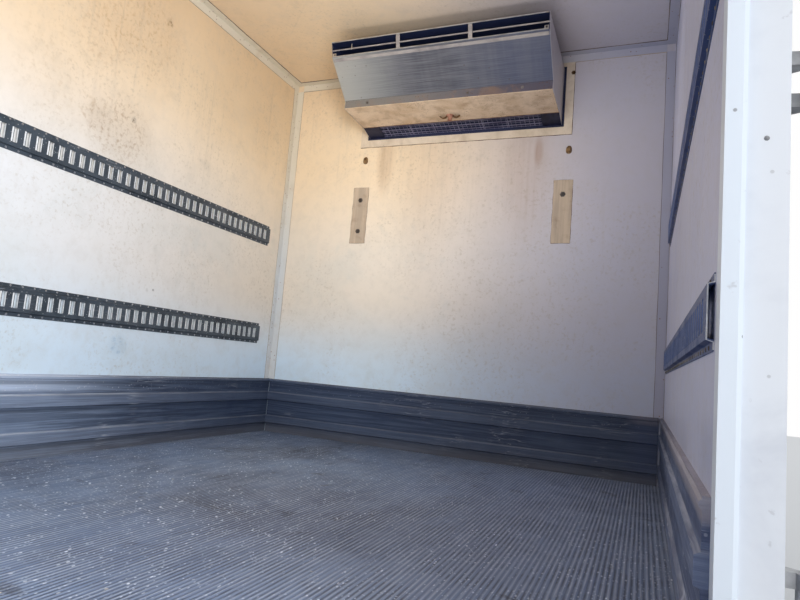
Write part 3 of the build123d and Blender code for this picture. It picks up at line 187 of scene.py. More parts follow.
def join(parts):
    """Puts several (vertices, faces) pairs into one."""
    verts, faces, count = [], [], 0
    for v, f in parts:
        verts.append(v)
        faces.append(f + count)
        count += len(v)
    return np.concatenate(verts), np.concatenate(faces)


def turns(count):
    """Even angles round a full turn."""
    return np.arange(count) * 2 * pi / count


def circle(radius, count, squash=1.0):
    """Profile points round a circle, stretched upward by squash."""
    turn = turns(count)
    return np.stack([radius * np.cos(turn), radius * squash * np.sin(turn)], -1)


def turned(profile, count):
    """Turns an open profile (rows of radius, height) round +Z and closes its last ring with a point."""
    radius, height = np.asarray(profile, float).T[:, :, None]
    turn = turns(count)
    rings = spread(radius * np.cos(turn), radius * np.sin(turn), height)
    return capped(rings, count, (0, 0, height[-1, 0]))


def rivet(radius, height, count=8):
    """Rivet head: a quarter ellipse turned round +Z."""
    t = np.array([0.0, 0.5, 1.1])  # radians up the ellipse, short of its top
    return turned(np.stack([radius * np.cos(t), height * np.sin(t)], -1), count)


def bolt(radius, height):
    """Bolt head: a washer ring, then a six-sided head with a slightly domed top, turned round +Z."""
    rim, flat = radius * 1.45, height * 0.2
    head = [(radius, flat), (radius, height * 0.85), (radius * 0.8, height)]
    return turned([(rim, 0), (rim, flat), *head], 6)


def repeat(name, template, spots, material, smooth=True, normal=INWARD, slot="hardware", body="box"):
    """Copies a small template to every spot, its +Z turned to the normal."""
    verts, faces = template
    spots = np.asarray(spots, float)
    turn = np.array(Vector((0, 0, 1)).rotation_difference(Vector(normal)).to_matrix())
    placed = (spots[:, None] + (verts @ turn.T)[None]).reshape(-1, 3)
    step = np.arange(len(spots)) * len(verts)
    linked = (faces[None] + step[:, None, None]).reshape(-1, faces.shape[1])
    mesh_piece(name, placed, linked, slot, material, smooth, body)


BAR_CORNERS = np.array([[i & 1, i >> 1 & 1, i >> 2 & 1] for i in range(8)])
BAR_QUADS = np.array([[0, 2, 3, 1], [4, 5, 7, 6], [0, 1, 5, 4], [2, 6, 7, 3], [0, 4, 6, 2], [1, 3, 7, 5]])


def boxes(corners, quads=BAR_QUADS, flip=False):
    """Vertices and faces of hexahedra from their corners (rows, 8, 3), turned inside out to flip."""
    quads = quads[:, ::-1] if flip else quads
    faces = quads[None] + np.arange(len(corners))[:, None, None] * 8
    return corners.reshape(-1, 3), faces.reshape(-1, 4)


def bars(name, lows, highs, slot, material, bevel=0.0):
    """Straight bars in one piece, given the lowest and the highest corner of each."""
    lows, highs = np.broadcast_arrays(np.asarray(lows, float), np.asarray(highs, float))
    corners = lows[:, None] + BAR_CORNERS * (highs - lows)[:, None]
    piece = mesh_piece(name, *boxes(corners), slot, material, False)
    if bevel:
        edge = piece.modifiers.new("soft_edge", "BEVEL")
        edge.width = bevel
        edge.segments = 2


# ---- node trees

X, Y, Z = (1, 0, 0), (0, 1, 0), (0, 0, 1)


def rgb(red, green, blue):
    """A colour given in screen values, 0 to 255, as Blender wants it."""
    level = np.array([red, green, blue]) / 255.0
    linear = np.where(level <= 0.04045, level / 12.92, ((level + 0.055) / 1.055) ** 2.4)
    return (*linear.tolist(), 1.0)


class Tree:
    """One node tree, with short ways to add nodes to it."""

    def __init__(self, tree):
        self.tree = tree

    def put(self, socket, value):
        """Links a socket to another, or gives it a constant."""
        if isinstance(value, bpy.types.NodeSocket):
            self.tree.links.new(value, socket)
        else:
            socket.default_value = value

    def add(self, kind, *values, **settings):
        """A shader node with its settings; the values go to its first inputs."""
        made = self.tree.nodes.new("ShaderNode" + kind)
        for name, value in settings.items():
            setattr(made, name, value)
        for socket, value in zip(made.inputs, values):
            self.put(socket, value)
        return made

    def feed(self, node, **values):
        """Gives a node's inputs their values by name, with _ for a blank."""
        for label, value in values.items():
            self.put(node.inputs[label.replace("_", " ")], value)
        return node

    def math(self, operation, *values):
        return self.add("Math", *values, operation=operation).outputs[0]

    def times(self, a, b):
        return self.math("MULTIPLY", a, b)

    def plus(self, a, b):
        return self.math("ADD", a, b)

    def flip(self, value):
        """1 minus a value."""
        return self.math("SUBTRACT", 1.0, value)

    def step(self, value, start, end):
        """0 before start, 1 after end, smooth between."""
        made = self.add("MapRange", interpolation_type="SMOOTHSTEP")
        return self.feed(made, Value=value, From_Min=start, From_Max=end).outputs[0]

    def mix(self, factor, a, b):
        """Two colours mixed by a factor; a plain colour is given in screen values."""
        made = self.add("Mix", data_type="RGBA")
        for place, value in ((0, factor), (6, a), (7, b)):
            self.put(made.inputs[place], rgb(*value) if isinstance(value, tuple) else value)
        return made.outputs[2]

    def scaled(self, place, factors):
        """A place stretched along its axes."""
        return self.add("VectorMath", place, factors, operation="MULTIPLY").outputs[0]

    def split(self, place):
        return self.add("SeparateXYZ", place).outputs

    def noise(self, place, scale, detail=3.0, rough=0.55, bend=0.0):
        made = self.add("TexNoise")
        self.feed(made, Vector=place, Scale=scale, Detail=detail, Roughness=rough, Distortion=bend)
        return made.outputs["Fac"]


def group(name, wire, outputs=("Mask",), **inputs):
    """A node group that takes a place and the inputs named with a default; wire fills its outputs."""
    made = bpy.data.node_groups.new(name, "ShaderNodeTree")
    for label, default in {"Place": (0, 0, 0), **inputs}.items():
        kind = "Vector" if isinstance(default, tuple) else "Float"
        socket = made.interface.new_socket(label, in_out="INPUT", socket_type="NodeSocket" + kind)
        socket.default_value = default
    for label in outputs:
        made.interface.new_socket(label, in_out="OUTPUT", socket_type="NodeSocketFloat")
    tree = Tree(made)
    start, end = made.nodes.new("NodeGroupInput"), made.nodes.new("NodeGroupOutput")
    for label, value in zip(outputs, wire(tree, start.outputs)):
        tree.put(end.inputs[label], value)
    return made


def wire_blotches(t, i):
    """Cloudy patches: smooth noise cut between two levels."""
    return [t.step(t.noise(i["Place"], i["Scale"], 5.0, 0.6, 0.3), i["Low"], i["High"])]


def wire_band(t, i):
    """How far a place is along an axis, from 0 at From to 1 at To."""
    made = t.add("VectorMath", i["Place"], i["Axis"], operation="DOT_PRODUCT")
    return [t.step(made.outputs["Value"], i["From"], i["To"])]


def wire_drips(t, i):
    """Runs of dirty water: noise that is fine across and very long downward, stronger near the top."""
    x, y, z = t.split(i["Place"])
    flat = t.add("CombineXYZ", t.times(t.plus(x, y), i["Fineness"]), t.times(z, 0.7))
    lines = t.step(t.noise(flat.outputs[0], 1.0, 4.0, 0.65, 0.15), i["Low"], i["High"])
    fade = t.times(t.step(z, i["Bottom"], i["Top"]), t.flip(t.step(z, i["Top"], i["End"])))
    return [t.times(lines, fade)]


def wire_scratches(t, i):
    """Thin lines where a stretched, bent noise passes its middle value."""
    level = t.noise(t.scaled(i["Place"], i["Stretch"]), i["Scale"], 2.0, 0.5, 0.8)
    near = t.math("ABSOLUTE", t.math("SUBTRACT", level, 0.5))
    some = t.step(t.noise(i["Place"], 3.0, 2.0), 0.52, 0.62)
    return [t.times(t.flip(t.step(near, 0.0, i["Width"])), some)]


def wire_brushed(t, i):
    """Brush lines: noise stretched hard along one axis, as a height and as a tint."""
    lines = t.noise(t.scaled(i["Place"], i["Stretch"]), i["Scale"], 3.0, 0.6)
    return [lines, t.step(lines, 0.35, 0.65)]


def wire_specks(t, i):
    """Small dots: cells of a Voronoi pattern, of which only a share has a dot."""
    cells = t.feed(t.add("TexVoronoi", voronoi_dimensions="3D"), Vector=i["Place"], Scale=i["Scale"])
    chance = t.split(cells.outputs["Color"])[0]
    pick = t.step(chance, t.flip(i["Share"]), t.math("SUBTRACT", 1.02, i["Share"]))
    dot = t.flip(t.step(cells.outputs["Distance"], t.times(i["Size"], 0.6), i["Size"]))
    return [t.times(dot, pick)]


def wire_stripe(t, i):
    """1 between two heights, with a soft edge at each."""
    z = t.split(i["Place"])[2]
    rise, fall = [
        t.step(z, t.math("SUBTRACT", i[edge], i["Soft"]), t.plus(i[edge], i["Soft"]))
        for edge in ("Low", "High")
    ]
    return [t.math("SUBTRACT", rise, fall)]


def wire_spot(t, i):
    """Fades from 1 at a centre to 0 at a reach, after the distance is scaled along the axes."""
    away = t.add("VectorMath", i["Place"], i["Center"], operation="SUBTRACT").outputs[0]
    reach = t.add("VectorMath", t.scaled(away, i["Flat"]), operation="LENGTH").outputs["Value"]
    return [t.flip(t.step(reach, t.times(i["Radius"], 0.3), i["Radius"]))]


def wire_inside(t, i):
    """1 on the faces of the load space, 0 on the outer skin."""
    x, y, z = t.split(i["Place"])
    across = t.math("LESS_THAN", t.math("ABSOLUTE", x), i["Half"])
    ahead = t.times(t.math("LESS_THAN", y, i["Front"]), t.math("GREATER_THAN", y, i["Rear"]))
    return [t.times(across, t.times(ahead, t.math("LESS_THAN", z, i["Top"])))]


BLOTCHES = group("Blotches", wire_blotches, Scale=2.0, Low=0.4, High=0.7)
BAND = group("Band", wire_band, Axis=Z, From=0.0, To=1.0)
DRIPS = group("Drips", wire_drips, Fineness=14.0, Low=0.5, High=0.7, Bottom=1.0, Top=2.2, End=2.3)
SCRATCHES = group("Scratches", wire_scratches, Stretch=(1, 1, 1), Scale=4.0, Width=0.01)
BRUSHED = group("Brushed", wire_brushed, ("Height", "Tint"), Stretch=(1, 60, 60), Scale=6.0)
SPECKS = group("Specks", wire_specks, Scale=60.0, Size=0.25, Share=0.1)
STRIPE = group("Stripe", wire_stripe, Low=0.0, High=1.0, Soft=0.003)
SPOT = group("Spot", wire_spot, Center=(0, 0, 0), Radius=0.1, Flat=(1, 1, 1))
# About halfway through the walls, the roof and the rear doors
INSIDE = group("Inside", wire_inside, Half=1.25, Front=2.389, Rear=-2.41, Top=2.731)


# ---- finishes

# Stains on the liner: x on the front wall below the evaporator, reach, strength
STREAKS = ((0.49, 0.035, 0.6), (0.42, 0.20, 0.2), (-0.485, 0.08, 0.4), (-0.2, 0.3, 0.16))
# Marks on the left wall: y and height, reach, strength, colour
MARKS = (
    ((0.93, 1.78), 0.24, 0.5, (148, 116, 74)),
    ((0.78, 1.80), 0.09, 0.4, (150, 118, 84)),
    ((0.99, 1.87), 0.02, 1.0, (60, 52, 44)),
    ((1.245, 1.082), 0.009, 1.0, (62, 60, 60)),
    ((1.205, 1.076), 0.012, 0.7, (110, 106, 100)),
    ((1.073, 0.793), 0.07, 0.5, (110, 160, 196)),
    ((0.60, 1.95), 0.35, 0.25, (176, 150, 112)),
    ((1.02, 2.32), 0.30, 0.35, (164, 124, 76)),
    ((0.79, 2.20), 0.22, 0.30, (170, 130, 84)),
    ((1.13, 2.45), 0.03, 0.8, (120, 92, 56)),
)
# Ribs of the scuff band: bottom and top above the floor
SCUFF_RIBS = ((0.054, 0.105), (0.202, 0.257), (0.318, 0.336))
# The doorway's inner faces and the rivets in them
DOORWAY_FRONT, DOORWAY_REAR = -0.040, -1.151
JAMB_RIVET_X = WALL + 0.060
JAMB_RIVET_Z = (FLOOR + 0.12, FLOOR + 0.893, FLOOR + 1.666)


class Finish(Tree):
    """A material with one Principled shader, the object's own coordinates and a colour laid in coats."""

    def __init__(self, name, sheen=0.5, **constants):
        self.material = bpy.data.materials.new(name)
        self.material.use_nodes = True
        super().__init__(self.material.node_tree)
        self.shader = self.tree.nodes["Principled BSDF"]
        self.feed(self.shader, Specular_IOR_Level=sheen, **constants)
        self.place = self.add("TexCoord").outputs["Object"]

    def use(self, which, out=0, **values):
        """An output of a node group, at the object's own places unless it is given others."""
        made = self.add("Group", node_tree=which)
        return self.feed(made, **{"Place": self.place, **values}).outputs[out]

    def blotches(self, scale, low, high):
        return self.use(BLOTCHES, Scale=scale, Low=low, High=high)

    def band(self, start, end, axis=Z):
        return self.use(BAND, Axis=axis, From=start, To=end)

    def brushed(self, stretch, scale, out="Tint"):
        return self.use(BRUSHED, out, Stretch=stretch, Scale=scale)

    def scratches(self, stretch, scale, width):
        return self.use(SCRATCHES, Stretch=stretch, Scale=scale, Width=width)

    def specks(self, scale, size, share, **place):
        return self.use(SPECKS, Scale=scale, Size=size, Share=share, **place)

    def stripe(self, bottom, top, soft):
        """A stripe between two heights above the floor."""
        return self.use(STRIPE, Low=FLOOR + bottom, High=FLOOR + top, Soft=soft)

    def spot(self, center, radius, flat=(1, 1, 1)):
        return self.use(SPOT, Center=center, Radius=radius, Flat=flat)

    def grain(self, scale, detail=2.0):
        return self.noise(self.place, scale, detail)

    def share(self, mask, amount, least):
        """A mask scaled by an amount, on top of what there is at least."""
        return self.plus(self.times(mask, amount), least)

    def coat(self, colour, mask, *amounts):
        """Lays a colour over what is there, as far as a mask times its amounts goes."""
        for amount in amounts:
            mask = self.times(mask, amount)
        self.base = self.mix(mask, self.base, colour)

    def done(self, rough, masks, *bumps):
        """Sets the colour, the roughness and the bumps, and gives the material.

        The roughness is a level plus each mask times its amount. The bumps are rows of height,
        strength and distance, the deepest first.
        """
        for mask, amount in masks:
            rough = self.plus(rough, self.times(mask, amount))
        self.feed(self.shader, Base_Color=self.base, Roughness=rough)
        under = {}
        for height, strength, distance in bumps:
            made = self.feed(self.add("Bump"), Height=height, Strength=strength, Distance=distance, **under)
            under = {"Normal": made.outputs[0]}
        self.feed(self.shader, **under)
        return self.material


def panel_finish():
    """Glass-fibre liner inside, aged and stained, with painted warm light high up, toward the front and on
    the left wall's top (with some yellowing), painted bluish sky light low down and painted shade toward
    the right; clean white gloss outside.
    """
    f = Finish("panel_skin", 0.4)
    # Height bands: warmer high up, painted warm light with some yellowing; cooler low down, painted bluish
    # sky light.
    warm_light_and_yellowing, cool = f.band(1.4, 2.15), f.band(1.25, 0.7)
    left = f.band(0.001 - WALL, -WALL - 0.001, X)
    clouds, smudges = f.blotches(1.6, 0.42, 0.72), f.blotches(7.0, 0.55, 0.8)
    f.base = f.mix(warm_light_and_yellowing, (222, 226, 230), (236, 218, 192))
    f.coat((212, 232, 248), cool)
    # Warmer toward the front, near the ceiling and on the left wall's upper part: painted warm light, with
    # some yellowing.
    f.coat((240, 216, 178), f.band(0.2, 2.3, Y), 0.5, f.flip(cool))
    f.coat((226, 196, 158), f.band(2.2, 2.75), 0.5)
    f.coat((204, 174, 130), left, 0.62, f.band(1.85, 2.35))
    f.coat((202, 176, 140), left, warm_light_and_yellowing, f.band(1.1, 0.2, Y), 0.5)
    # Cloudy dirt, its colour warmer high up along with the painted warm light.
    f.coat(f.mix(warm_light_and_yellowing, (196, 204, 202), (208, 180, 142)), clouds, 0.28)
    f.coat(f.mix(warm_light_and_yellowing, (184, 192, 190), (182, 166, 142)), smudges, 0.26)
    # Painted shade: greyer and bluer toward the right, and most on the right wall's own face.
    f.coat((178, 181, 203), f.band(-0.5, 1.0, X), 0.8)
    f.coat((208, 213, 238), f.band(WALL - 0.006, WALL - 0.001, X), 0.95)
    f.coat((186, 180, 170), f.blotches(17.0, 0.4, 0.75), 0.16)
    wide = f.blotches(1.9, 0.38, 0.6)
    f.coat((160, 146, 122), f.blotches(60.0, 0.52, 0.7), wide, 0.3)
    weep = f.use(DRIPS, Fineness=42.0, Low=0.5, High=0.74, Bottom=0.7, Top=2.5, End=2.9)
    f.coat((176, 164, 146), weep, wide, 0.24)
    runs = f.share(f.use(DRIPS, Fineness=30.0, Low=0.4, High=0.7, Bottom=0.9, Top=2.2, End=2.3), 0.4, 0.6)
    for x, reach, amount in STREAKS:
        f.coat((150, 108, 72), runs, f.spot((x, BULKHEAD, FLOOR + 1.80), reach, (1, 1, 0.28)), amount)
    mould = f.share(f.blotches(48.0, 0.5, 0.68), 0.75, 0.25)
    for place, reach, amount, colour in MARKS:
        f.coat(colour, mould, f.spot((-WALL, *place), reach), amount)
    liner = f.base
    f.base = f.mix(f.times(f.blotches(0.8, 0.35, 0.8), 0.5), (214, 217, 220), (206, 208, 209))
    weather = f.use(DRIPS, Fineness=9.0, Low=0.5, High=0.75, Bottom=0.3, Top=2.6, End=2.9)
    f.coat((150, 144, 134), weather, 0.1)
    f.coat((168, 160, 150), f.band(0.75, 0.2), 0.25)
    inside = f.use(INSIDE)
    f.coat(liner, inside)
    masks = [(clouds, 0.15), (smudges, 0.2), (inside, 0.1)]
    return f.done(0.26, masks, (f.grain(1.3), 0.5, 0.012), (f.grain(160.0), 0.12, 0.001))


def plate_finish():
    """Cover plates: beige-grey sheet, smeared and darker than the liner."""
    f = Finish("cover_plate_paint", 0.45)
    blot = f.blotches(12.0, 0.5, 0.75)
    f.base = f.mix(f.brushed((20, 20, 1.5), 2.0), (196, 178, 156), (176, 160, 142))
    f.coat((134, 112, 90), blot, 0.5)
    return f.done(0.36, [(blot, 0.25)], (f.grain(60.0), 0.2, 0.001))


def trim_finish():
    """Off-white trims and strips with grime along them, warmer high up as painted warm light with some
    yellowing, and bluish painted shade toward the right.
    """
    f = Finish("liner_trim_paint", 0.4)
    grime = f.blotches(9.0, 0.5, 0.75)
    # Warmer high up: painted warm light, with some yellowing.
    f.base = f.mix(f.band(1.2, 2.3), (210, 214, 216), (220, 211, 192))
    f.coat((182, 158, 128), grime, 0.3)
    # Painted shade: bluish grey toward the right.
    f.coat((166, 168, 190), f.band(-0.2, 1.1, X), 0.9)
    f.coat((128, 78, 44), f.specks(70.0, 0.3, 0.08), 0.7)
    return f.done(0.42, [(grime, 0.25)], (f.grain(120.0), 0.15, 0.001))


def deck_finish():
    """Dark slate deck: painted shade in the grooves, paler crests partly worn and partly painted highlight,
    scuffs, pale specks, stains, and bluish painted sky light toward the doorway side.
    """
    f = Finish("deck_plank", 0.45)
    stains, worn = f.blotches(1.5, 0.4, 0.7), f.blotches(5.0, 0.5, 0.78)
    f.base = f.mix(stains, (102, 124, 158), (78, 92, 116))
    f.coat((120, 130, 146), worn, 0.5)
    f.coat((46, 47, 52), f.blotches(3.1, 0.62, 0.74), 0.6)
    # Painted light: paler and bluer toward the doorway side, on the right, as sky light.
    f.coat((142, 160, 196), f.band(-0.5, 0.9, X), 0.55)
    # Ribs: painted shade in the grooves between them, weaker in patches, and paler crests, partly worn and
    # partly painted highlight.
    crest = f.math("COSINE", f.times(f.split(f.place)[0], 2 * pi / RIB_PITCH))
    groove_shade_breaks = f.flip(f.times(f.blotches(8.0, 0.4, 0.62), 0.65))
    f.coat((34, 40, 54), f.step(crest, 0.1, -0.9), 0.66, groove_shade_breaks)
    f.coat((186, 196, 214), f.step(crest, 0.0, 0.9), f.brushed((70, 1.6, 40), 3.0), 0.62)
    f.coat((44, 46, 56), f.blotches(6.5, 0.62, 0.7), 0.55)
    drift = f.share(f.blotches(3.4, 0.36, 0.6), 0.7, 0.3)
    along_ribs = f.scaled(f.place, (1, 0.5, 1))
    f.coat((230, 240, 255), f.specks(100.0, 0.3, 0.18, Place=along_ribs), drift)
    f.coat((204, 218, 240), f.specks(180.0, 0.4, 0.22, Place=along_ribs), 0.8, drift)
    f.coat((196, 192, 184), f.specks(28.0, 0.16, 0.02))
    lines = f.noise(f.scaled(f.place, (1, 0.2, 1)), 140.0)
    return f.done(0.38, [(stains, 0.14), (worn, 0.2)], (lines, 0.35, 0.002))


def scuff_finish():
    """Dark blue-grey scuff band with lengthwise scrapes, painted highlight on its ribs and near the
    doorway, and painted shade under the ribs, further forward and on the right wall.
    """
    f = Finish("scuff_band", 0.45)
    blot, scrape = f.blotches(3.0, 0.35, 0.7), f.brushed((1, 1.5, 60), 3.0)
    f.base = f.mix(blot, (96, 112, 136), (66, 78, 100))
    f.coat((132, 146, 168), scrape, 0.5)
    f.coat((34, 42, 62), f.step(f.brushed((1, 1.2, 44), 2.2), 0.7, 0.1), 0.62)
    f.coat((26, 32, 48), f.scratches((1, 0.35, 9), 5.0, 0.03), 0.8)
    f.coat((206, 214, 226), f.scratches((1, 0.5, 14), 4.0, 0.028), 0.9)
    # Painted reflection: lighter and bluer on the rear part of the left wall's band, with a painted
    # highlight along the crown there; the crown's flecks are real.
    near = f.times(f.band(1.3, 0.5, Y), f.band(-1.0, -1.1, X))
    f.coat((172, 194, 226), near, 0.2)
    crown = f.stripe(0.272, 0.36, 0.012)
    f.coat((196, 212, 236), crown, 0.75, near)
    f.coat((216, 222, 230), f.specks(90.0, 0.34, 0.2), crown, 0.6)
    # Each rib: a painted lighter face, a painted highlight line along its top edge (stronger where scraped)
    # and painted shade below it.
    for bottom, top in SCUFF_RIBS:
        f.coat((150, 164, 188), f.stripe(bottom, top, 0.006), 0.3)
        f.coat((206, 214, 226), f.stripe(top - 0.004, top + 0.002, 0.003), f.share(scrape, 0.5, 0.12))
        f.coat((44, 50, 62), f.stripe(bottom - 0.02, bottom - 0.002, 0.006), 0.5)
    # Right wall's band: bluer as painted shade, with a paler stripe along its crown.
    flank = f.band(1.0, 1.1, X)
    f.coat((120, 134, 184), flank, 0.3)
    f.coat((186, 180, 188), flank, f.stripe(0.30, 0.37, 0.012), 0.6)
    # Painted shade: darker further forward, away from the doorway.
    f.coat((38, 50, 76), f.band(0.5, 1.9, Y), 0.7)
    f.coat((120, 118, 116), f.band(0.40, 0.31), 0.35)
    return f.done(0.36, [(blot, 0.2)], (scrape, 0.3, 0.002))


def track_finish():
    """Painted steel track, dark slate, chipped and dusty on its flanges, with bluish painted shade on the
    right-hand tracks.
    """
    f = Finish("track_paint")
    blot = f.blotches(8.0, 0.4, 0.75)
    f.base = f.mix(blot, (64, 74, 84), (44, 52, 60))
    # Painted shade: navy on the right-hand tracks.
    f.coat((60, 83, 136), f.band(0.0, 1.1, X), 0.9)
    f.coat((168, 172, 176), f.specks(120.0, 0.3, 0.1), 0.8)
    f.coat((150, 154, 160), f.scratches((1, 0.3, 6), 9.0, 0.012), 0.6)
    return f.done(0.38, [(blot, 0.25)], (f.grain(90.0, 3.0), 0.25, 0.001))


def steel(name, bright, dull, rough=0.4, rust=0.15):
    """Zinc-plated or bare steel with dull patches and some rust."""
    f = Finish(name, Metallic=0.85)
    blot = f.blotches(14.0, 0.35, 0.7)
    f.base = f.mix(blot, bright, dull)
    f.coat((122, 74, 44), f.blotches(38.0, 0.62, 0.72), rust)
    return f.done(rough, [(blot, 0.2)], (f.grain(220.0), 0.2, 0.0006))


def sheet_finish():
    """Brushed stainless sheet: fine lines along the width, pale runs, fingerprints of grime; painted light
    on the left and on the right cheek, painted shade toward the right and inside the housing.
    """
    f = Finish("unit_stainless", Metallic=0.65)
    tint, blot = f.brushed((0.7, 34, 34), 7.0), f.blotches(3.5, 0.4, 0.7)
    f.base = f.mix(tint, (110, 109, 117), (144, 144, 148))
    # Painted light on the left part, painted bluish shade toward the right.
    f.coat((216, 216, 208), f.band(-0.1, -0.62, X), 0.8)
    f.coat((108, 116, 146), f.band(0.0, 0.55, X), 0.6)
    f.coat((142, 144, 152), blot, 0.4)
    f.coat((190, 188, 184), f.brushed((14, 0.6, 0.6), 1.6), 0.08)
    f.coat((112, 96, 80), f.specks(60.0, 0.3, 0.05), 0.5)
    # Painted highlight on the right end cheek.
    f.coat((222, 216, 214), f.band(EVAP_HALF - 0.002, EVAP_HALF - 0.001, X), 0.8)
    # Painted shade: dark blue on the faces inside the housing, behind the sloped front and above the lip,
    # between the cheeks.
    behind = f.band(SLOPE_AT - 0.003, SLOPE_AT - 0.006, SLOPE_OUT)
    above = f.band(EVAP_LIP[1] + 0.006, EVAP_LIP[1] + 0.010)
    between_cheeks = f.math("LESS_THAN", f.math("ABSOLUTE", f.split(f.place)[0]), EVAP_HALF - 0.001)
    f.coat((62, 72, 112), between_cheeks, f.math("MAXIMUM", behind, above))
    lines = f.brushed((0.5, 90, 90), 9.0, "Height")
    masks = [(tint, 0.08), (blot, 0.14)]
    return f.done(0.34, masks, (f.grain(4.0, 1.5), 0.35, 0.01), (lines, 0.12, 0.0008))


def pan_finish():
    """Drip pan: beige, stained, with rust specks gathered toward the mouth, greyer toward the right as
    painted shade; a grey bolted strip, painted lighter on the left and darker toward the right.
    """
    f = Finish("pan_paint", 0.4)
    blot, right = f.blotches(6.0, 0.35, 0.7), f.band(-0.6, 0.6, X)
    f.base = f.mix(blot, (224, 200, 172), (200, 172, 140))
    # Painted shade: greyer toward the right.
    f.coat((186, 168, 150), right, 0.3)
    strip = f.band(EVAP_FOLD[1] + 0.002, EVAP_FOLD[1] + 0.004)
    # The strip: grey, painted lighter on the left and darker, violet-grey, toward the right.
    f.coat(f.mix(right, (122, 118, 112), (84, 80, 92)), strip)
    patch = f.share(f.blotches(5.0, 0.42, 0.6), 0.7, 0.25)
    f.coat((96, 62, 42), f.specks(120.0, 0.36, 0.26), patch)
    f.coat((142, 112, 86), f.blotches(11.0, 0.45, 0.68), 0.45)
    return f.done(0.42, [(blot, 0.2)], (f.grain(30.0, 3.0), 0.2, 0.002))


def paint(name, colour, shade, rough, scale, grain=150.0, bump=0.15, metallic=0.0, dirt=0.3):
    """A paint or plastic with cloudy shade, dirt in patches and a fine grain."""
    f = Finish(name, Metallic=metallic)
    blot = f.blotches(scale, 0.35, 0.72)
    f.base = f.mix(blot, colour, shade)
    f.coat((96, 88, 76), f.specks(scale * 12.0, 0.25, 0.06), dirt)
    return f.done(rough, [(blot, 0.16)], (f.grain(grain), bump, 0.001))


def lens(name, colour, deep):
    """Moulded lens: deep colour, glossy, with fine ribs under the surface."""
    f = Finish(name, Coat_Weight=0.6, Coat_Roughness=0.08)
    rib = f.math("SINE", f.times(f.split(f.place)[0], 900.0))
    f.base = f.mix(f.step(rib, -0.6, 0.8), colour, deep)
    return f.done(0.18, [(f.blotches(12.0, 0.4, 0.7), 0.2)], (rib, 0.3, 0.001))


def wire_finish():
    """Mouth grille: grey wire, very dark blue near the bracket at each end."""
    f = Finish("mouth_wire", Metallic=0.3)
    blot = f.blotches(12.0, 0.35, 0.72)
    f.base = f.mix(blot, (150, 146, 168), (98, 94, 120))
    ends = f.step(f.math("ABSOLUTE", f.split(f.place)[0]), EVAP_HALF - 0.112, EVAP_HALF - 0.106)
    f.coat(f.mix(blot, (30, 34, 62), (18, 20, 34)), ends)
    return f.done(0.4, [(blot, 0.2)], (f.grain(40.0, 3.0), 0.5, 0.004))


def coil_finish():
    """Aluminium fins with dust caught between them."""
    f = Finish("coil_fins", Metallic=0.8)
    dust = f.blotches(7.0, 0.4, 0.7)
    f.base = f.mix(dust, (120, 122, 126), (74, 70, 66))
    fins = f.math("SINE", f.times(f.split(f.place)[0], 1800.0))
    return f.done(0.45, [(dust, 0.3)], (fins, 0.4, 0.002))


def frame_finish():
    """Door frames: pale bluish-white paint, chipped, with dust low down; painted light on the doorway's
    inner lip and painted shade on the rear frame's outer part.
    """
    f = Finish("frame_paint")
    blot = f.blotches(5.0, 0.4, 0.75)
    f.base = f.mix(blot, (232, 237, 244), (216, 221, 230))
    # Painted light: lighter and bluer on the doorway's inner lip.
    f.coat((234, 244, 255), f.band(WALL + 0.036, WALL + 0.030, X))
    f.coat((255, 250, 246), f.spot((JAMB_RIVET_X, HOLE_FRONT, JAMB_RIVET_Z[1]), 0.022), 0.8)
    f.coat((120, 120, 122), f.specks(55.0, 0.2, 0.05), 0.8)
    f.coat((176, 178, 184), f.blotches(26.0, 0.66, 0.72), 0.35)
    # Painted shade: greyer on the rear frame's outer part.
    f.coat((198, 202, 208), f.band(INNER_REAR, REAR, Y), 0.8)
    f.coat((176, 168, 158), f.band(0.55, 0.28), 0.4)
    return f.done(0.34, [(blot, 0.18)], (f.grain(70.0, 3.0), 0.15, 0.001))


ZINC = steel("rivet_zinc", (214, 216, 220), (186, 188, 192), 0.42, 0.1)
STEEL = steel("zinc_steel", (196, 198, 202), (150, 152, 156))
# Dull steel for bolts; on the right-hand tracks it also paints the rivets darker as painted shade.
DULL_AND_SHADED = steel("dull_and_shaded_bolts", (160, 156, 152), (96, 88, 84), 0.55, 0.5)
RUSTY = steel("rusty_bolts", (150, 118, 84), (96, 68, 46), 0.6, 0.8)
BRIGHT = steel("bright_lip", (214, 214, 214), (176, 174, 172), 0.3, 0.05)
# Lip paint in two copies: bare metal painted bright as lit, and painted dark blue as shade.
LIT_LIP = paint("lit_bare_lips", (244, 248, 250), (200, 206, 212), 0.42, 40.0, metallic=0.15)
SHADED_LIP = paint("shaded_lips", (106, 136, 194), (74, 96, 148), 0.5, 30.0, dirt=0.4)
CAULK = paint("joint_sealant", (128, 112, 98), (74, 66, 66), 0.7, 7.0, dirt=0.6)
BEAD = paint("wall_bead", (186, 168, 146), (132, 120, 110), 0.6, 5.0, dirt=0.5)
GASKET = paint("opening_sealant", (74, 46, 38), (150, 118, 92), 0.7, 14.0)
DROP = paint("bolt_sealant", (150, 118, 76), (72, 50, 32), 0.5, 60.0, dirt=0.6)
SPOUT = paint("drain_spout", (168, 122, 100), (112, 66, 50), 0.5, 30.0, dirt=0.6)
RAIL = paint("rail_alloy", (176, 180, 185), (160, 164, 169), 0.4, 1.5, metallic=0.5, dirt=0.2)
OUTLET = paint("outlet_bars", (160, 153, 148), (126, 120, 120), 0.45, 9.0, dirt=0.5)
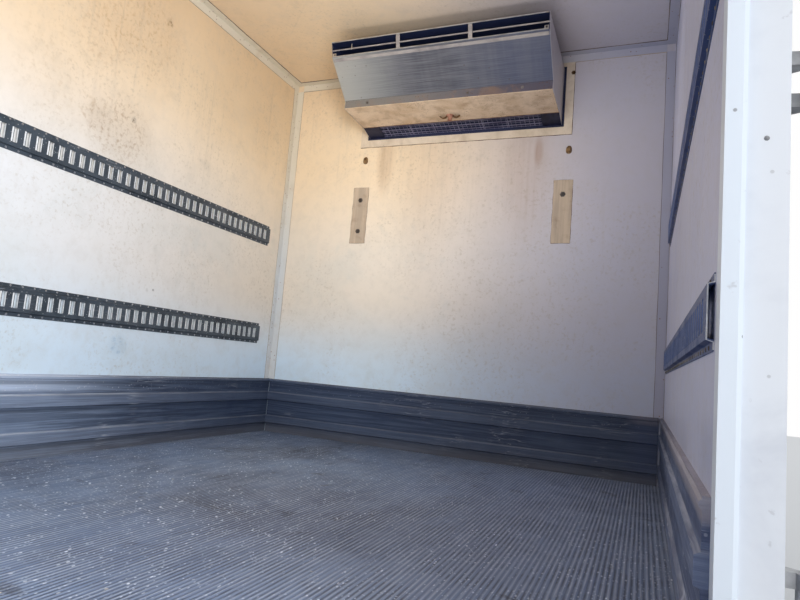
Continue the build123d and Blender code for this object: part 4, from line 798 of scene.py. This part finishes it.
# Painted shade: the evaporator coil in dark blue.
COIL_IN_SHADOW = paint("coil_in_shadow", (40, 46, 76), (24, 28, 50), 0.5, 10.0)
PAN = pan_finish()
COIL = coil_finish()
WIRE = wire_finish()
SHELL = paint("unit_shell_white", (230, 232, 233), (214, 216, 217), 0.28, 3.0, 200.0, 0.06)
STRIP = paint("opening_strip_paint", (226, 210, 188), (200, 182, 158), 0.5, 9.0, dirt=0.6)

SLOT_FINISH = {
    "panel": panel_finish(),
    "liner_trim": trim_finish(),
    "deck": deck_finish(),
    "scuff": scuff_finish(),
    "track": track_finish(),
    "underframe": paint("underframe_paint", (58, 60, 62), (40, 41, 43), 0.5, 5.0, dirt=0.5),
    "body_rail": RAIL,
    "frame_paint": frame_finish(),
    "hardware": STEEL,
    "seal": paint("seal_rubber", (30, 31, 33), (44, 44, 46), 0.6, 9.0, 240.0, 0.3),
    "unit_sheet": sheet_finish(),
    "pan": PAN,
    "coil": COIL,
    "wire": WIRE,
    "blower": paint("blower_drum", (48, 58, 92), (30, 38, 64), 0.55, 10.0),
    "unit_shell": SHELL,
    "unit_black": paint("unit_black", (34, 35, 37), (52, 52, 54), 0.5, 8.0),
    "engine": paint("engine_block", (70, 72, 76), (48, 49, 52), 0.55, 9.0, metallic=0.4, dirt=0.6),
    "fan": paint("fan_blades", (40, 41, 44), (58, 58, 62), 0.5, 8.0),
    "lens_white": lens("lens_white", (236, 238, 236), (214, 218, 218)),
    "lens_amber": lens("lens_amber", (232, 128, 26), (198, 92, 14)),
    "lens_red": lens("lens_red", (176, 22, 22), (128, 12, 14)),
}

NODE_FINISH = {
    "cover_plates": plate_finish(),
    "opening_frame": STRIP,
    # Painted shade: the plug in the unit's opening, dark blue inside the housing.
    "unit_bulkhead": paint("duct_face_in_shadow", (44, 50, 80), (28, 34, 54), 0.55, 8.0, dirt=0.4),
    "evaporator_outlet": OUTLET,
    "evaporator_coil": COIL_IN_SHADOW,
}

for part in frame["record"]["subparts"]:
    piece = frame["nodes"][part["node"]]
    piece.data.materials.clear()
    piece.data.materials.append(NODE_FINISH.get(part["node"], SLOT_FINISH[part["material_slot"]]))


# ---- cargo tracks


def track_lips(slots, side, z):
    """The folded front lip of each slot: a plate that narrows toward the wall, as a hexahedron."""
    x_web = side * (WALL - TRACK_DEPTH)
    ends = ((x_web + side * 0.0004, 0.0288), (x_web + side * 0.0062, 0.0240))
    layers = (slots + SLOT_W / 2 - 0.0026, slots + SLOT_W / 2 - 0.0004)
    corners = [spread(x, y, z + way * half) for x, half in ends for y in layers for way in (-1, 1)]
    quads = np.array([[0, 1, 3, 2], [4, 6, 7, 5], [0, 4, 5, 1], [2, 3, 7, 6], [0, 2, 6, 4], [1, 5, 7, 3]])
    return boxes(np.stack(corners, 1), quads, side < 0)


def track_rims(slots, side, z):
    """The worn, bare strip along the rear edge of each slot, a little proud of the web."""
    lows = spread(side * (WALL - TRACK_DEPTH), slots - SLOT_W / 2 - 0.0092, z - 0.029)
    size = np.array([-side * 0.0005, 0.0062, 0.058])
    return boxes(lows[:, None] + BAR_CORNERS * size, flip=side > 0)


def track_end(side, y, way, z):
    """The bare cut edge of a track's end: the hat section's sheet, half a millimetre proud."""
    near, far = TRACK_T / 2, TRACK_DEPTH - TRACK_T / 2
    edge, foot = TRACK_HALF - 0.002, TRACK_HALF - TRACK_FLANGE
    crown = foot - 0.003
    line = np.array([(near, -edge), (near, -foot), (far, -crown), (far, crown), (near, foot), (near, edge)])
    step = np.gradient(line, axis=0)
    off = np.stack([-step[:, 1], step[:, 0]], -1) / np.linalg.norm(step, axis=1)[:, None] * TRACK_T * 0.45
    rows = np.concatenate([line + off, line - off])
    layers = [spread(side * (WALL - rows[:, 0]), y + out, z + rows[:, 1]) for out in (0.0, way * 0.0005)]
    quads = [[12, 13, 19, 18], [0, 1, 13, 12], [6, 18, 19, 7]]
    return np.concatenate(layers), np.concatenate([np.array(quads) + i for i in range(5)])


def track_details():
    """Rivets in both flanges between the slots, a folded lip in every slot and bare cut ends."""
    ends = []
    flange_mid = TRACK_HALF - TRACK_FLANGE / 2
    for side, word in SIDES:
        rivets, lips, rims = [], [], []
        for rear, front in [line[1:] for line in TRACK_RUNS if line[0] == side]:
            count = int((front - rear - SLOT_PITCH) // SLOT_PITCH)
            slots = front - (np.arange(count) + 1) * SLOT_PITCH
            between = np.append(slots + SLOT_PITCH / 2, slots[-1] - SLOT_PITCH / 2)
            for z in TRACK_Z:
                for height in (z - flange_mid, z + flange_mid):
                    rivets.append(spread(side * (WALL - TRACK_T), between, height))
                lips.append(track_lips(slots, side, z))
                rims.append(track_rims(slots, side, z))
                ends += [track_end(side, rear, -1, z), track_end(side, front, 1, z)]
        # Left tracks: lit lip paint and bright rivets; right tracks: painted shade on both.
        bare, zinc = (LIT_LIP, ZINC) if side < 0 else (SHADED_LIP, DULL_AND_SHADED)
        head, spots = rivet(0.0046, 0.0024), np.concatenate(rivets)
        mesh_piece(f"track_rims_{word}", *join(rims), "track", bare, False)
        repeat(f"track_rivets_{word}", head, spots, zinc, normal=(-side, 0, 0), slot="track")
        mesh_piece(f"track_lips_{word}", *join(lips), "track", bare, False)
    # The cut ends on both sides take the lit lip paint, as painted light.
    mesh_piece("track_cut_ends", *join(ends), "track", LIT_LIP, False)


# ---- joints of the liner

JOINT_LEG = 0.045
COVER_W = 0.106
# How far a bead's middle line lies off the sheet that it seals
HAIR = 0.0002


def run(a, b, pitch=0.12):
    """A path from a to b in short steps, wavering a little as a hand-laid bead does."""
    a, b = np.asarray(a, float), np.asarray(b, float)
    count = max(3, int(np.linalg.norm(b - a) / pitch))
    t = np.linspace(0, 1, count)[:, None]
    return a + (b - a) * t + 0.0009 * np.sin(t * count * 1.7 + a.sum()) * (np.abs(b - a) < 1e-6)


def joint_beads():
    """Sealant along the trims' edges: dark on the ceiling side, thin and pale on the wall side; on the
    right wall the beads take the dark sealant as painted shade.
    """
    top, leg = CEILING - HAIR, JOINT_LEG + 0.0012
    corner, rim, face = BULKHEAD - leg, CEILING - leg, BULKHEAD - HAIR
    dark, pale = [], []
    for side in (-1, 1):
        edge, skin = side * (WALL - leg), side * (WALL - HAIR)
        dark.append(((edge, INNER_REAR, top), (edge, corner, top), 0.0026))
        # Right wall: dark sealant, as painted shade.
        walls = pale if side < 0 else dark
        walls.append(((skin, INNER_REAR, rim), (skin, corner, rim), 0.0013))
        walls.append(((skin, corner, SCUFF_TOP), (skin, corner, rim), 0.0013))
        walls.append(((edge, face, SCUFF_TOP), (edge, face, rim), 0.0013))
    dark.append(((-WALL + leg, corner, top), (WALL - leg, corner, top), 0.0026))
    for start, end in ((-WALL + leg, -EVAP_HALF - 0.03), (EVAP_HALF + 0.03, WALL - leg)):
        pale.append(((start, face, rim), (end, face, rim), 0.0018))
    for name, rows, material in (("ceiling_sealant", dark, CAULK), ("wall_sealant", pale, BEAD)):
        beads = [along(run(a, b), circle(radius, 6)) for a, b, radius in rows]
        mesh_piece(name, *join(beads), "liner_trim", material)


# ---- evaporator


def edge_run(y, z, half, count=2):
    """Points along X at one y and z."""
    return spread(np.linspace(-half, half, count), y, z)


def evaporator_details():
    """Lips, end brackets, strip bolts, drain fitting, mouth mesh and the coil's fins."""
    lip_y, lip_z = EVAP_LIP[0], EVAP_LIP[1] + LIP_RISE
    lip = along(edge_run(lip_y - 0.008, lip_z + 0.002, EVAP_HALF - 0.006, 40), circle(0.0035, 10))
    nose = edge_run(EVAP_NOSE[0] - 0.0005, EVAP_NOSE[1] - 0.004, EVAP_HALF - 0.003, 40)
    mesh_piece("outlet_lips", *join([lip, along(nose, circle(0.0024, 8, 1.6))]), "unit_sheet", BRIGHT)
    # how far down the slope and how far out of it the strip under the lip reaches
    profile = ((0.002, 0.0), (0.002, 0.0016), (0.020, 0.0014), (0.020, 0.0))
    rows = np.array([SLOPE * down + np.array(SLOPE_OUT[1:]) * out for down, out in profile])
    strip = along(edge_run(*EVAP_LIP, EVAP_HALF - 0.004), rows * (-1, 1))
    mesh_piece("outlet_strip", *strip, "unit_sheet", OUTLET, False)
    seam = edge_run(EVAP_SEAM[0] - 0.001, EVAP_SEAM[1] + 0.003, EVAP_HALF - 0.002, 60)
    fold = edge_run(EVAP_FOLD[0], EVAP_FOLD[1] + 0.0006, EVAP_HALF - 0.004, 60)
    pan_edges = [along(seam, circle(0.0028, 8)), along(fold, circle(0.0022, 8))]
    mesh_piece("pan_edges", *join(pan_edges), "pan", PAN)
    edge = along(edge_run(EVAP_MOUTH[0], EVAP_MOUTH[1] - 0.001, EVAP_HALF - 0.004, 60), circle(0.0016, 6))
    mesh_piece("mouth_edge", *edge, "pan", GASKET)
    spots = [(x, EVAP_SEAM[0] - 0.0005, EVAP_FOLD[1] + 0.028) for x in (-0.464, 0.148, 0.451)]
    repeat("strip_bolts", bolt(0.0062, 0.004), spots, DULL_AND_SHADED, False)
    # one angle at each end of the lip, and a short hanger behind the first outlet
    bracket_y = lip_y - 0.011
    lows = [(x, bracket_y, lip_z + 0.002) for x in (-EVAP_HALF + 0.005, EVAP_HALF - 0.027)]
    lows = np.array(lows + [(-0.494, lip_y - 0.008, lip_z + 0.034)])
    sizes = [(0.022, 0.003, 0.018), (0.022, 0.003, 0.018), (0.005, 0.004, 0.036)]
    bars("outlet_brackets", lows, lows + sizes, "hardware", BRIGHT, 0.0008)
    spots = [(x, bracket_y, lip_z + 0.011) for x in (-0.593, 0.596)]
    repeat("lip_bolts", bolt(0.0045, 0.003), spots, DULL_AND_SHADED, False)
    drain_fitting()
    mouth_mesh()
    coil_low, coil_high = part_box("evaporator_coil")
    lows = spread(np.arange(-0.572, 0.572, 0.0042), coil_low.y, coil_low.z - 0.004)
    size = np.array([0.0012, coil_high.y - coil_low.y, 0.0041])
    bars("evaporator_fins", lows, lows + size, "coil", COIL_IN_SHADOW)


def drain_fitting():
    """Under the pan: a flanged spout held by a strap with two bent wings."""
    x, y = -0.011, 2.159
    fall = (EVAP_MOUTH[1] - EVAP_FOLD[1]) / (EVAP_MOUTH[0] - EVAP_FOLD[0])
    z = EVAP_FOLD[1] + fall * (y - EVAP_FOLD[0])
    flange = [(0.024, -0.001), (0.024, 0.003), (0.013, 0.005)]
    tube = [(0.012, 0.026), (0.015, 0.030), (0.009, 0.030), (0.008, 0.012)]
    verts, faces = turned(flange + tube, 20)
    mesh_piece("drain_spout", verts * (1, -1, -1) + (x, y, z), faces, "hardware", SPOUT)
    bends = ((0.018, 0.004), (0.028, 0.012), (0.044, 0.014), (0.062, 0.003))
    section = [(-0.008, -0.0012), (0.008, -0.0012), (0.008, 0.0012), (-0.008, 0.0012)]
    wings = [along([(x + side * out, y, z - drop) for out, drop in bends], section) for side in (-1, 1)]
    mesh_piece("drain_strap", *join(wings), "hardware", RUSTY, False)


def mouth_mesh():
    """Fine wire mesh across the intake, under the grille's bars."""
    half = EVAP_HALF - 0.108
    start, end = np.array(EVAP_BOTTOM) + (-0.004, 0.004), np.array(EVAP_MOUTH) + (0.004, 0.004)
    paths = [edge_run(*(start + (end - start) * t), half) for t in np.linspace(0.04, 0.96, 6)]
    paths += [[(x, *start), (x, *end)] for x in np.arange(-half + 0.02, half, 0.027)]
    mesh_piece("mouth_mesh", *join([along(path, circle(0.0012, 5)) for path in paths]), "wire", WIRE)


# ---- front wall


def teardrop(radius, tail, height):
    """A bolt head under a drop of sealant: a round dome drawn out downward into a point."""
    count = 18
    turn = turns(count)
    reach = radius * (1 + (tail / radius - 1) * np.clip(np.sin(turn), 0, 1) ** 3)
    size, rise = np.array([(1.0, 0.0), (0.92, 0.45), (0.66, 0.85), (0.3, 1.0)]).T[:, :, None]
    rings = spread(size * reach * np.cos(turn), size * reach * np.sin(turn), rise * height)
    return capped(rings, count, (0, 0, height))


def bead_round(x0, z0, x1, z1, radius):
    """A bead of sealant round a rectangle on the front wall, given two of its corners."""
    y = BULKHEAD - 0.0006
    corners = [(x0, y, z0), (x1, y, z0), (x1, y, z1), (x0, y, z1)]
    edges = zip(corners, corners[1:] + corners[:1])
    return join([along(run(a, b, 0.03), circle(radius, 6)) for a, b in edges])


def front_wall_details():
    """Bolts of the cover plates and of the opening frame, and the sealed bolt heads below it."""
    plates_low, plates_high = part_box("cover_plates")
    frame_low, frame_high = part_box("opening_frame")
    spots = [(x, plates_low.y, FLOOR + z) for x, z in ((-0.64, 1.54), (-0.64, 1.335), (0.64, 1.54))]
    repeat("plate_bolts", bolt(0.0115, 0.007), spots, DULL_AND_SHADED, False)
    spots = [(-0.630, BULKHEAD, FLOOR + 1.80), (0.661, BULKHEAD, FLOOR + 1.795)]
    repeat("sealed_bolts", teardrop(0.017, 0.033, 0.010), spots, DROP)
    spots = [(x, frame_low.y, FLOOR + 2.265) for x in (0.665, -0.665)]
    repeat("frame_bolts", bolt(0.009, 0.006), spots, RUSTY, False)
    beads = [bead_round(frame_low.x, frame_low.z, frame_high.x, frame_high.z, 0.0022)]
    for x in (plates_low.x, plates_high.x - COVER_W):
        beads.append(bead_round(x, plates_low.z, x + COVER_W, plates_high.z, 0.0014))
    mesh_piece("edge_sealant", *join(beads), "liner_trim", GASKET)


# ---- door frames and rails


def row(a, b, pitch):
    """Evenly spread points from a to b, about a pitch apart."""
    a, b = np.asarray(a, float), np.asarray(b, float)
    count = max(2, int(round(np.linalg.norm(b - a) / pitch)) + 1)
    return a + (b - a) * np.linspace(0, 1, count)[:, None]


def outer_rivets():
    """Rivet rows along rails, posts and the side door frame's flange."""
    head = rivet(0.0055, 0.0028)
    roof, base = high("roof_rails").z, low("base_rails").z
    frame_low, frame_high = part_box("side_door_frame")
    rear, front = INNER_REAR + 0.03, BULKHEAD - 0.03
    for side, word in SIDES:
        x = side * SKIN
        lengths = [(rear, front)] if side < 0 else [(rear, HOLE_REAR - 0.06), (HOLE_FRONT + 0.06, front)]
        runs = [(rear, front, roof - 0.030), (rear, front, roof - 0.092)]
        runs += [(a, b, base + z) for z in (0.085, 0.030) for a, b in lengths]
        rows = [row((x, a, z), (x, b, z), 0.10) for a, b, z in runs]
        if side > 0:
            for y in (HOLE_REAR - FLANGE_W / 2, HOLE_FRONT + FLANGE_W / 2):
                rows.append(row((x, y, frame_low.z + 0.02), (x, y, frame_high.z - 0.02), 0.09))
            for z in (frame_low.z + FLANGE_W / 2, frame_high.z - FLANGE_W / 2):
                rows.append(row((x, HOLE_REAR + 0.03, z), (x, HOLE_FRONT - 0.03, z), 0.09))
        spots = np.concatenate(rows)
        repeat(f"skin_rivets_{word}", head, spots, RAIL, normal=(side, 0, 0), slot="body_rail")
    face = high("wall_front").y
    rows = [row((x, face, 0.24), (x, face, 2.70), 0.10) for x in (0.022 - WALL, WALL - 0.022)]
    repeat("front_rivets", head, np.concatenate(rows), RAIL, normal=(0, 1, 0), slot="body_rail")


def jamb_rivets():
    """Rivets in the doorway's inner faces, the edge that the load passes."""
    head = rivet(0.0042, 0.0022, 10)
    for word, y, way in (("front", DOORWAY_FRONT, -1), ("rear", DOORWAY_REAR, 1)):
        spots = [(JAMB_RIVET_X, y, z) for z in JAMB_RIVET_Z]
        repeat(f"jamb_rivets_{word}", head, spots, STEEL, normal=(0, way, 0), slot="frame_paint")


def door_bolts():
    """Carriage bolts in the straps and screws in the rod guides of the rear doors."""
    straps = FLOOR + np.linspace(0.210, 2.122, 4)
    guides = FLOOR + np.array([0.060, 0.520, 0.800, 1.500, 2.272])
    for side, word in SIDES:
        body = f"rear_door_{word}"
        places = [(x, z + dz) for z in straps for x in (1.000, 1.060, 1.150) for dz in (-0.012, 0.012)]
        spots = [(side * x, REAR - 0.015, z) for x, z in places]
        repeat(f"strap_bolts_{word}", rivet(0.0065, 0.004, 10), spots, STEEL, body=body)
        spots = [(side * 0.130 + dx, REAR - 0.004, z) for z in guides for dx in (-0.028, 0.028)]
        repeat(f"guide_screws_{word}", bolt(0.005, 0.004), spots, STEEL, False, body=body)


# ---- condenser


def condenser_details():
    """Fins of the condenser coil behind the grille, left and right of the fan."""
    coil_low, coil_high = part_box("condenser_coil")
    inset, fan_half = 0.03, 0.25
    x = np.arange(coil_low.x + inset, coil_high.x - inset, 0.006)
    lows = spread(x[np.abs(x) > fan_half], coil_high.y, coil_low.z + inset)
    size = np.array([0.0015, 0.004, coil_high.z - coil_low.z - 2 * inset])
    bars("condenser_fins", lows, lows + size, "coil", COIL)


INSIDE_DETAILS = (track_details, joint_beads, evaporator_details, front_wall_details)
for details in (*INSIDE_DETAILS, outer_rivets, jamb_rivets, door_bolts, condenser_details):
    details()


# ---- stage, light and camera


def stage():
    """A pale floor, and a world that is white to the camera and a cool fill to the rest."""
    half = 14.0
    corners = [(-half, -half, 0), (half, -half, 0), (half, half, 0), (-half, half, 0)]
    mesh = bpy.data.meshes.new("stage_floor")
    mesh.from_pydata(corners, [], [(0, 1, 2, 3)])
    made = bpy.data.materials.new("stage_floor")
    made.use_nodes = True
    t = Tree(made.node_tree)
    t.feed(t.tree.nodes["Principled BSDF"], Base_Color=rgb(226, 226, 226), Roughness=0.9)
    mesh.materials.append(made)
    shown("stage_floor", mesh)
    world = bpy.data.worlds.new("studio")
    bpy.context.scene.world = world
    world.use_nodes = True
    t = Tree(world.node_tree)
    white = t.feed(t.tree.nodes["Background"], Color=(1, 1, 1, 1), Strength=1.0)
    fill = t.feed(t.add("Background"), Color=(0.93, 0.96, 1.0, 1), Strength=0.85)
    rays = t.add("LightPath").outputs
    seen = t.math("MAXIMUM", rays["Is Camera Ray"], rays["Is Glossy Ray"])
    seen = t.math("MAXIMUM", seen, rays["Is Transmission Ray"])
    both = t.add("MixShader", seen, fill.outputs[0], white.outputs[0])
    t.put(t.tree.nodes["World Output"].inputs[0], both.outputs[0])


def area_lamp(name, place, aim, size, power, cone=180.0):
    """A rectangular lamp at a place, facing along aim, that neither camera nor gloss shows."""
    lamp = bpy.data.lights.new(name, "AREA")
    lamp.shape = "RECTANGLE"
    lamp.size, lamp.size_y = size
    lamp.energy = power
    lamp.spread = radians(cone)
    made = shown(name, lamp)
    made.location = place
    made.rotation_euler = Vector(aim).to_track_quat("-Z", "Y").to_euler()
    made.visible_camera = False
    made.visible_glossy = False


def camera():
    """The photograph's viewpoint: just inside the side doorway, looking forward and to the left."""
    yaw, pitch, roll = 0.3922, 0.1076, 0.0835
    eye = (1.1016, -1.0642, 0.8106)
    forward = Vector((-sin(yaw) * cos(pitch), cos(yaw) * cos(pitch), sin(pitch)))
    right = Vector((cos(yaw), sin(yaw), 0))
    up = right.cross(forward)
    side = right * cos(roll) + up * sin(roll)
    crown = -right * sin(roll) + up * cos(roll)
    data = bpy.data.cameras.new("camera")
    data.lens = 26.955
    data.sensor_width = 36.0
    data.clip_start = 0.01
    made = shown("camera", data)
    made.matrix_world = Matrix.Translation(eye) @ Matrix((side, crown, -forward)).transposed().to_4x4()
    bpy.context.scene.camera = made


stage()
area_lamp("doorway_light", (WALL - 0.24, -0.68, FLOOR + 1.0), (-0.94, 0.24, 0.1), (0.8, 1.9), 27.0, 130.0)
area_lamp("rear_light", (-0.35, INNER_REAR + 0.2, FLOOR + 1.6), (-0.14, 1, 0.16), (1.6, 1.2), 14.0, 150.0)
area_lamp("front_light", (0.55, 0.30, FLOOR + 1.55), (-0.66, 0.72, 0.12), (0.7, 0.9), 11.0, 150.0)
area_lamp("bounce_light", (0.0, 1.15, FLOOR + 0.75), (0, 0.5, 0.85), (1.2, 0.5), 3.2, 120.0)
area_lamp("jamb_light", (3.34, -3.84, 0.6), (-1.04, 1.89, 0.3), (1.0, 1.0), 8.8, 60.0)
area_lamp("outside_key", (-4.0, -4.5, 6.0), (0.5, 0.55, -0.68), (4.0, 4.0), 190.0)
camera()
scene = bpy.context.scene
scene.view_settings.view_transform = "Standard"
